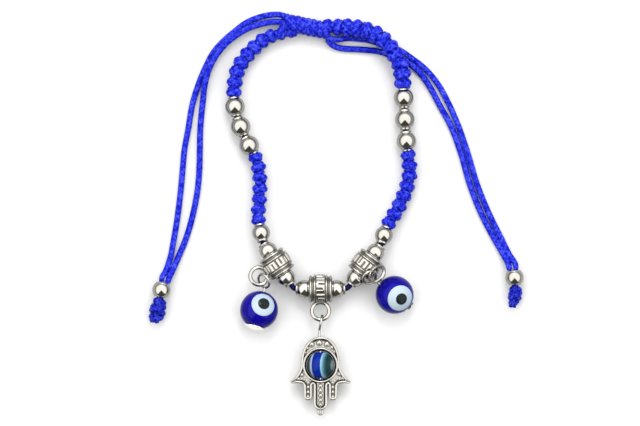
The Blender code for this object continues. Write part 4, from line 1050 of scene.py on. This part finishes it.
make_core()
for s in BOTH:
    lip = BEAD_SPACING[s] / 2 - LIP_GAP
    begin = BEND_GAP + 2 * bead_half(SHOULDER, COLLAR)
    finish_at = begin + BEAD_SEAT + BAND_LENGTH[s] + BEAD_SEAT
    make_band(f"{s}_lower_band", side_route[s], begin + SHOULDER_LIP + BAND_REACH,
              finish_at - lip - BAND_REACH, LOWER_WIDTH[s], LOWER_BUMP, LOWER_ENDS)
    half = bead_half(BEAD, COLLAR)
    last_bead = finish_at + half + 2 * (2 * half + BEAD_SPACING[s])
    make_band(f"{s}_upper_band", look_route[s], last_bead + half + lip + BAND_REACH,
              look_route[s].length - UPPER_STOP, UPPER_WIDTH[s], UPPER_BUMP, UPPER_ENDS[s])
    make_bead(f"{s}_shoulder_bead", SHOULDER, COLLAR, BEAD_BORE, SHOULDER_LIP)
    for k in (1, 2, 3):
        make_bead(f"{s}_bead_{k}", BEAD, COLLAR, BEAD_BORE, lip)
    make_bead(f"{s}_end_bead", END_BEAD, END_COLLAR, END_BORE, END_LIP)
make_knot()
end_knots = {s: make_end_knot(s) for s in BOTH}
for s in ("left", "centre", "right"):
    make_bail(s)
for s in BOTH:
    make_eye(s)
make_hand()
make_hamsa_pin()
make_resin_bead()

for name in STRAND_ROUTE:
    item, route, path = make_tail(name)
    s = name.split("_")[0]


# Stage, light and camera

FLOOR_HALF = 0.6
FLOOR_TONES = [(0.3, (0.47, 0.47, 0.47)), (0.7, (0.48, 0.48, 0.48))]
SKY_TONES = [(0.0, (0.19, 0.19, 0.18)), (0.22, (0.2, 0.2, 0.19)), (0.4, (0.75, 0.75, 0.74)),
             (0.55, (1.0, 1.0, 1.0)), (1.0, (1.0, 1.0, 1.0))]
SKY_STRENGTH, WEDGE_TONE = 3.3, (0.05, 0.05, 0.042)
WEDGE_START, WEDGE_SPREAD, WEDGE_EDGE = -0.06, 0.95, 30.0
LIGHT_PLACE, LIGHT_SIZE, LIGHT_POWER = Vector((0.02, 0.4, 0.5)), 0.2, 1.38
PICTURE_WIDTH, CAMERA_DISTANCE, SENSOR = 640 * 0.22 * MM, 0.9, 36.0
CAMERA_CENTRE = Vector((-0.11 * MM, 0.0, 2.5 * MM))


def make_stage():
    size = FLOOR_HALF
    verts = [(-size, -size, 0), (size, -size, 0), (size, size, 0), (-size, size, 0)]
    floor = add_mesh("floor", verts, [(0, 1, 2, 3)])
    finish, nodes, shader = new_material("pale_floor")
    noise = nodes.add("ShaderNodeTexNoise", {"Scale": 6.0}).outputs["Fac"]
    tone = nodes.ramp(noise, FLOOR_TONES)
    nodes.feed(shader, {"Base Color": tone, "Roughness": 0.7, "Specular IOR Level": 0.2})
    floor.data.materials.append(finish)


def make_world():
    """A white tent with a darker band low down and a dark wedge on the side below the picture."""
    world = bpy.data.worlds.new("tent")
    bpy.context.scene.world = world
    world.use_nodes = True
    nodes = Nodes(world.node_tree)
    x, y, z = nodes.add("ShaderNodeSeparateXYZ", {0: nodes.coords("Generated")}).outputs
    sky = nodes.ramp(z, SKY_TONES)
    sideways = nodes.maths("ABSOLUTE", x)
    reach = nodes.maths("MULTIPLY", nodes.maths("MULTIPLY_ADD", y, -1.0, WEDGE_START), WEDGE_SPREAD)
    wedge = nodes.maths("MULTIPLY", nodes.maths("SUBTRACT", reach, sideways), WEDGE_EDGE, clamp=True)
    tone = nodes.mix(wedge, sky, WEDGE_TONE)
    nodes.feed(nodes.nodes["Background"], {"Color": tone, "Strength": SKY_STRENGTH})


def make_key_light():
    data = bpy.data.lights.new("key", "AREA")
    data.shape = "DISK"
    data.size = LIGHT_SIZE
    data.energy = LIGHT_POWER
    aim(new_object("key", data, LIGHT_PLACE), -LIGHT_PLACE, "-Z")


def make_camera():
    data = bpy.data.cameras.new("camera")
    data.sensor_fit = "HORIZONTAL"
    data.sensor_width = SENSOR
    data.lens = SENSOR * CAMERA_DISTANCE / PICTURE_WIDTH
    data.clip_start = 0.01
    place_above = OFFSET + CAMERA_CENTRE + UP * CAMERA_DISTANCE
    bpy.context.scene.camera = new_object("camera", data, place_above)


make_stage()
make_world()
make_key_light()
make_camera()
bpy.context.scene.view_settings.view_transform = "Standard"
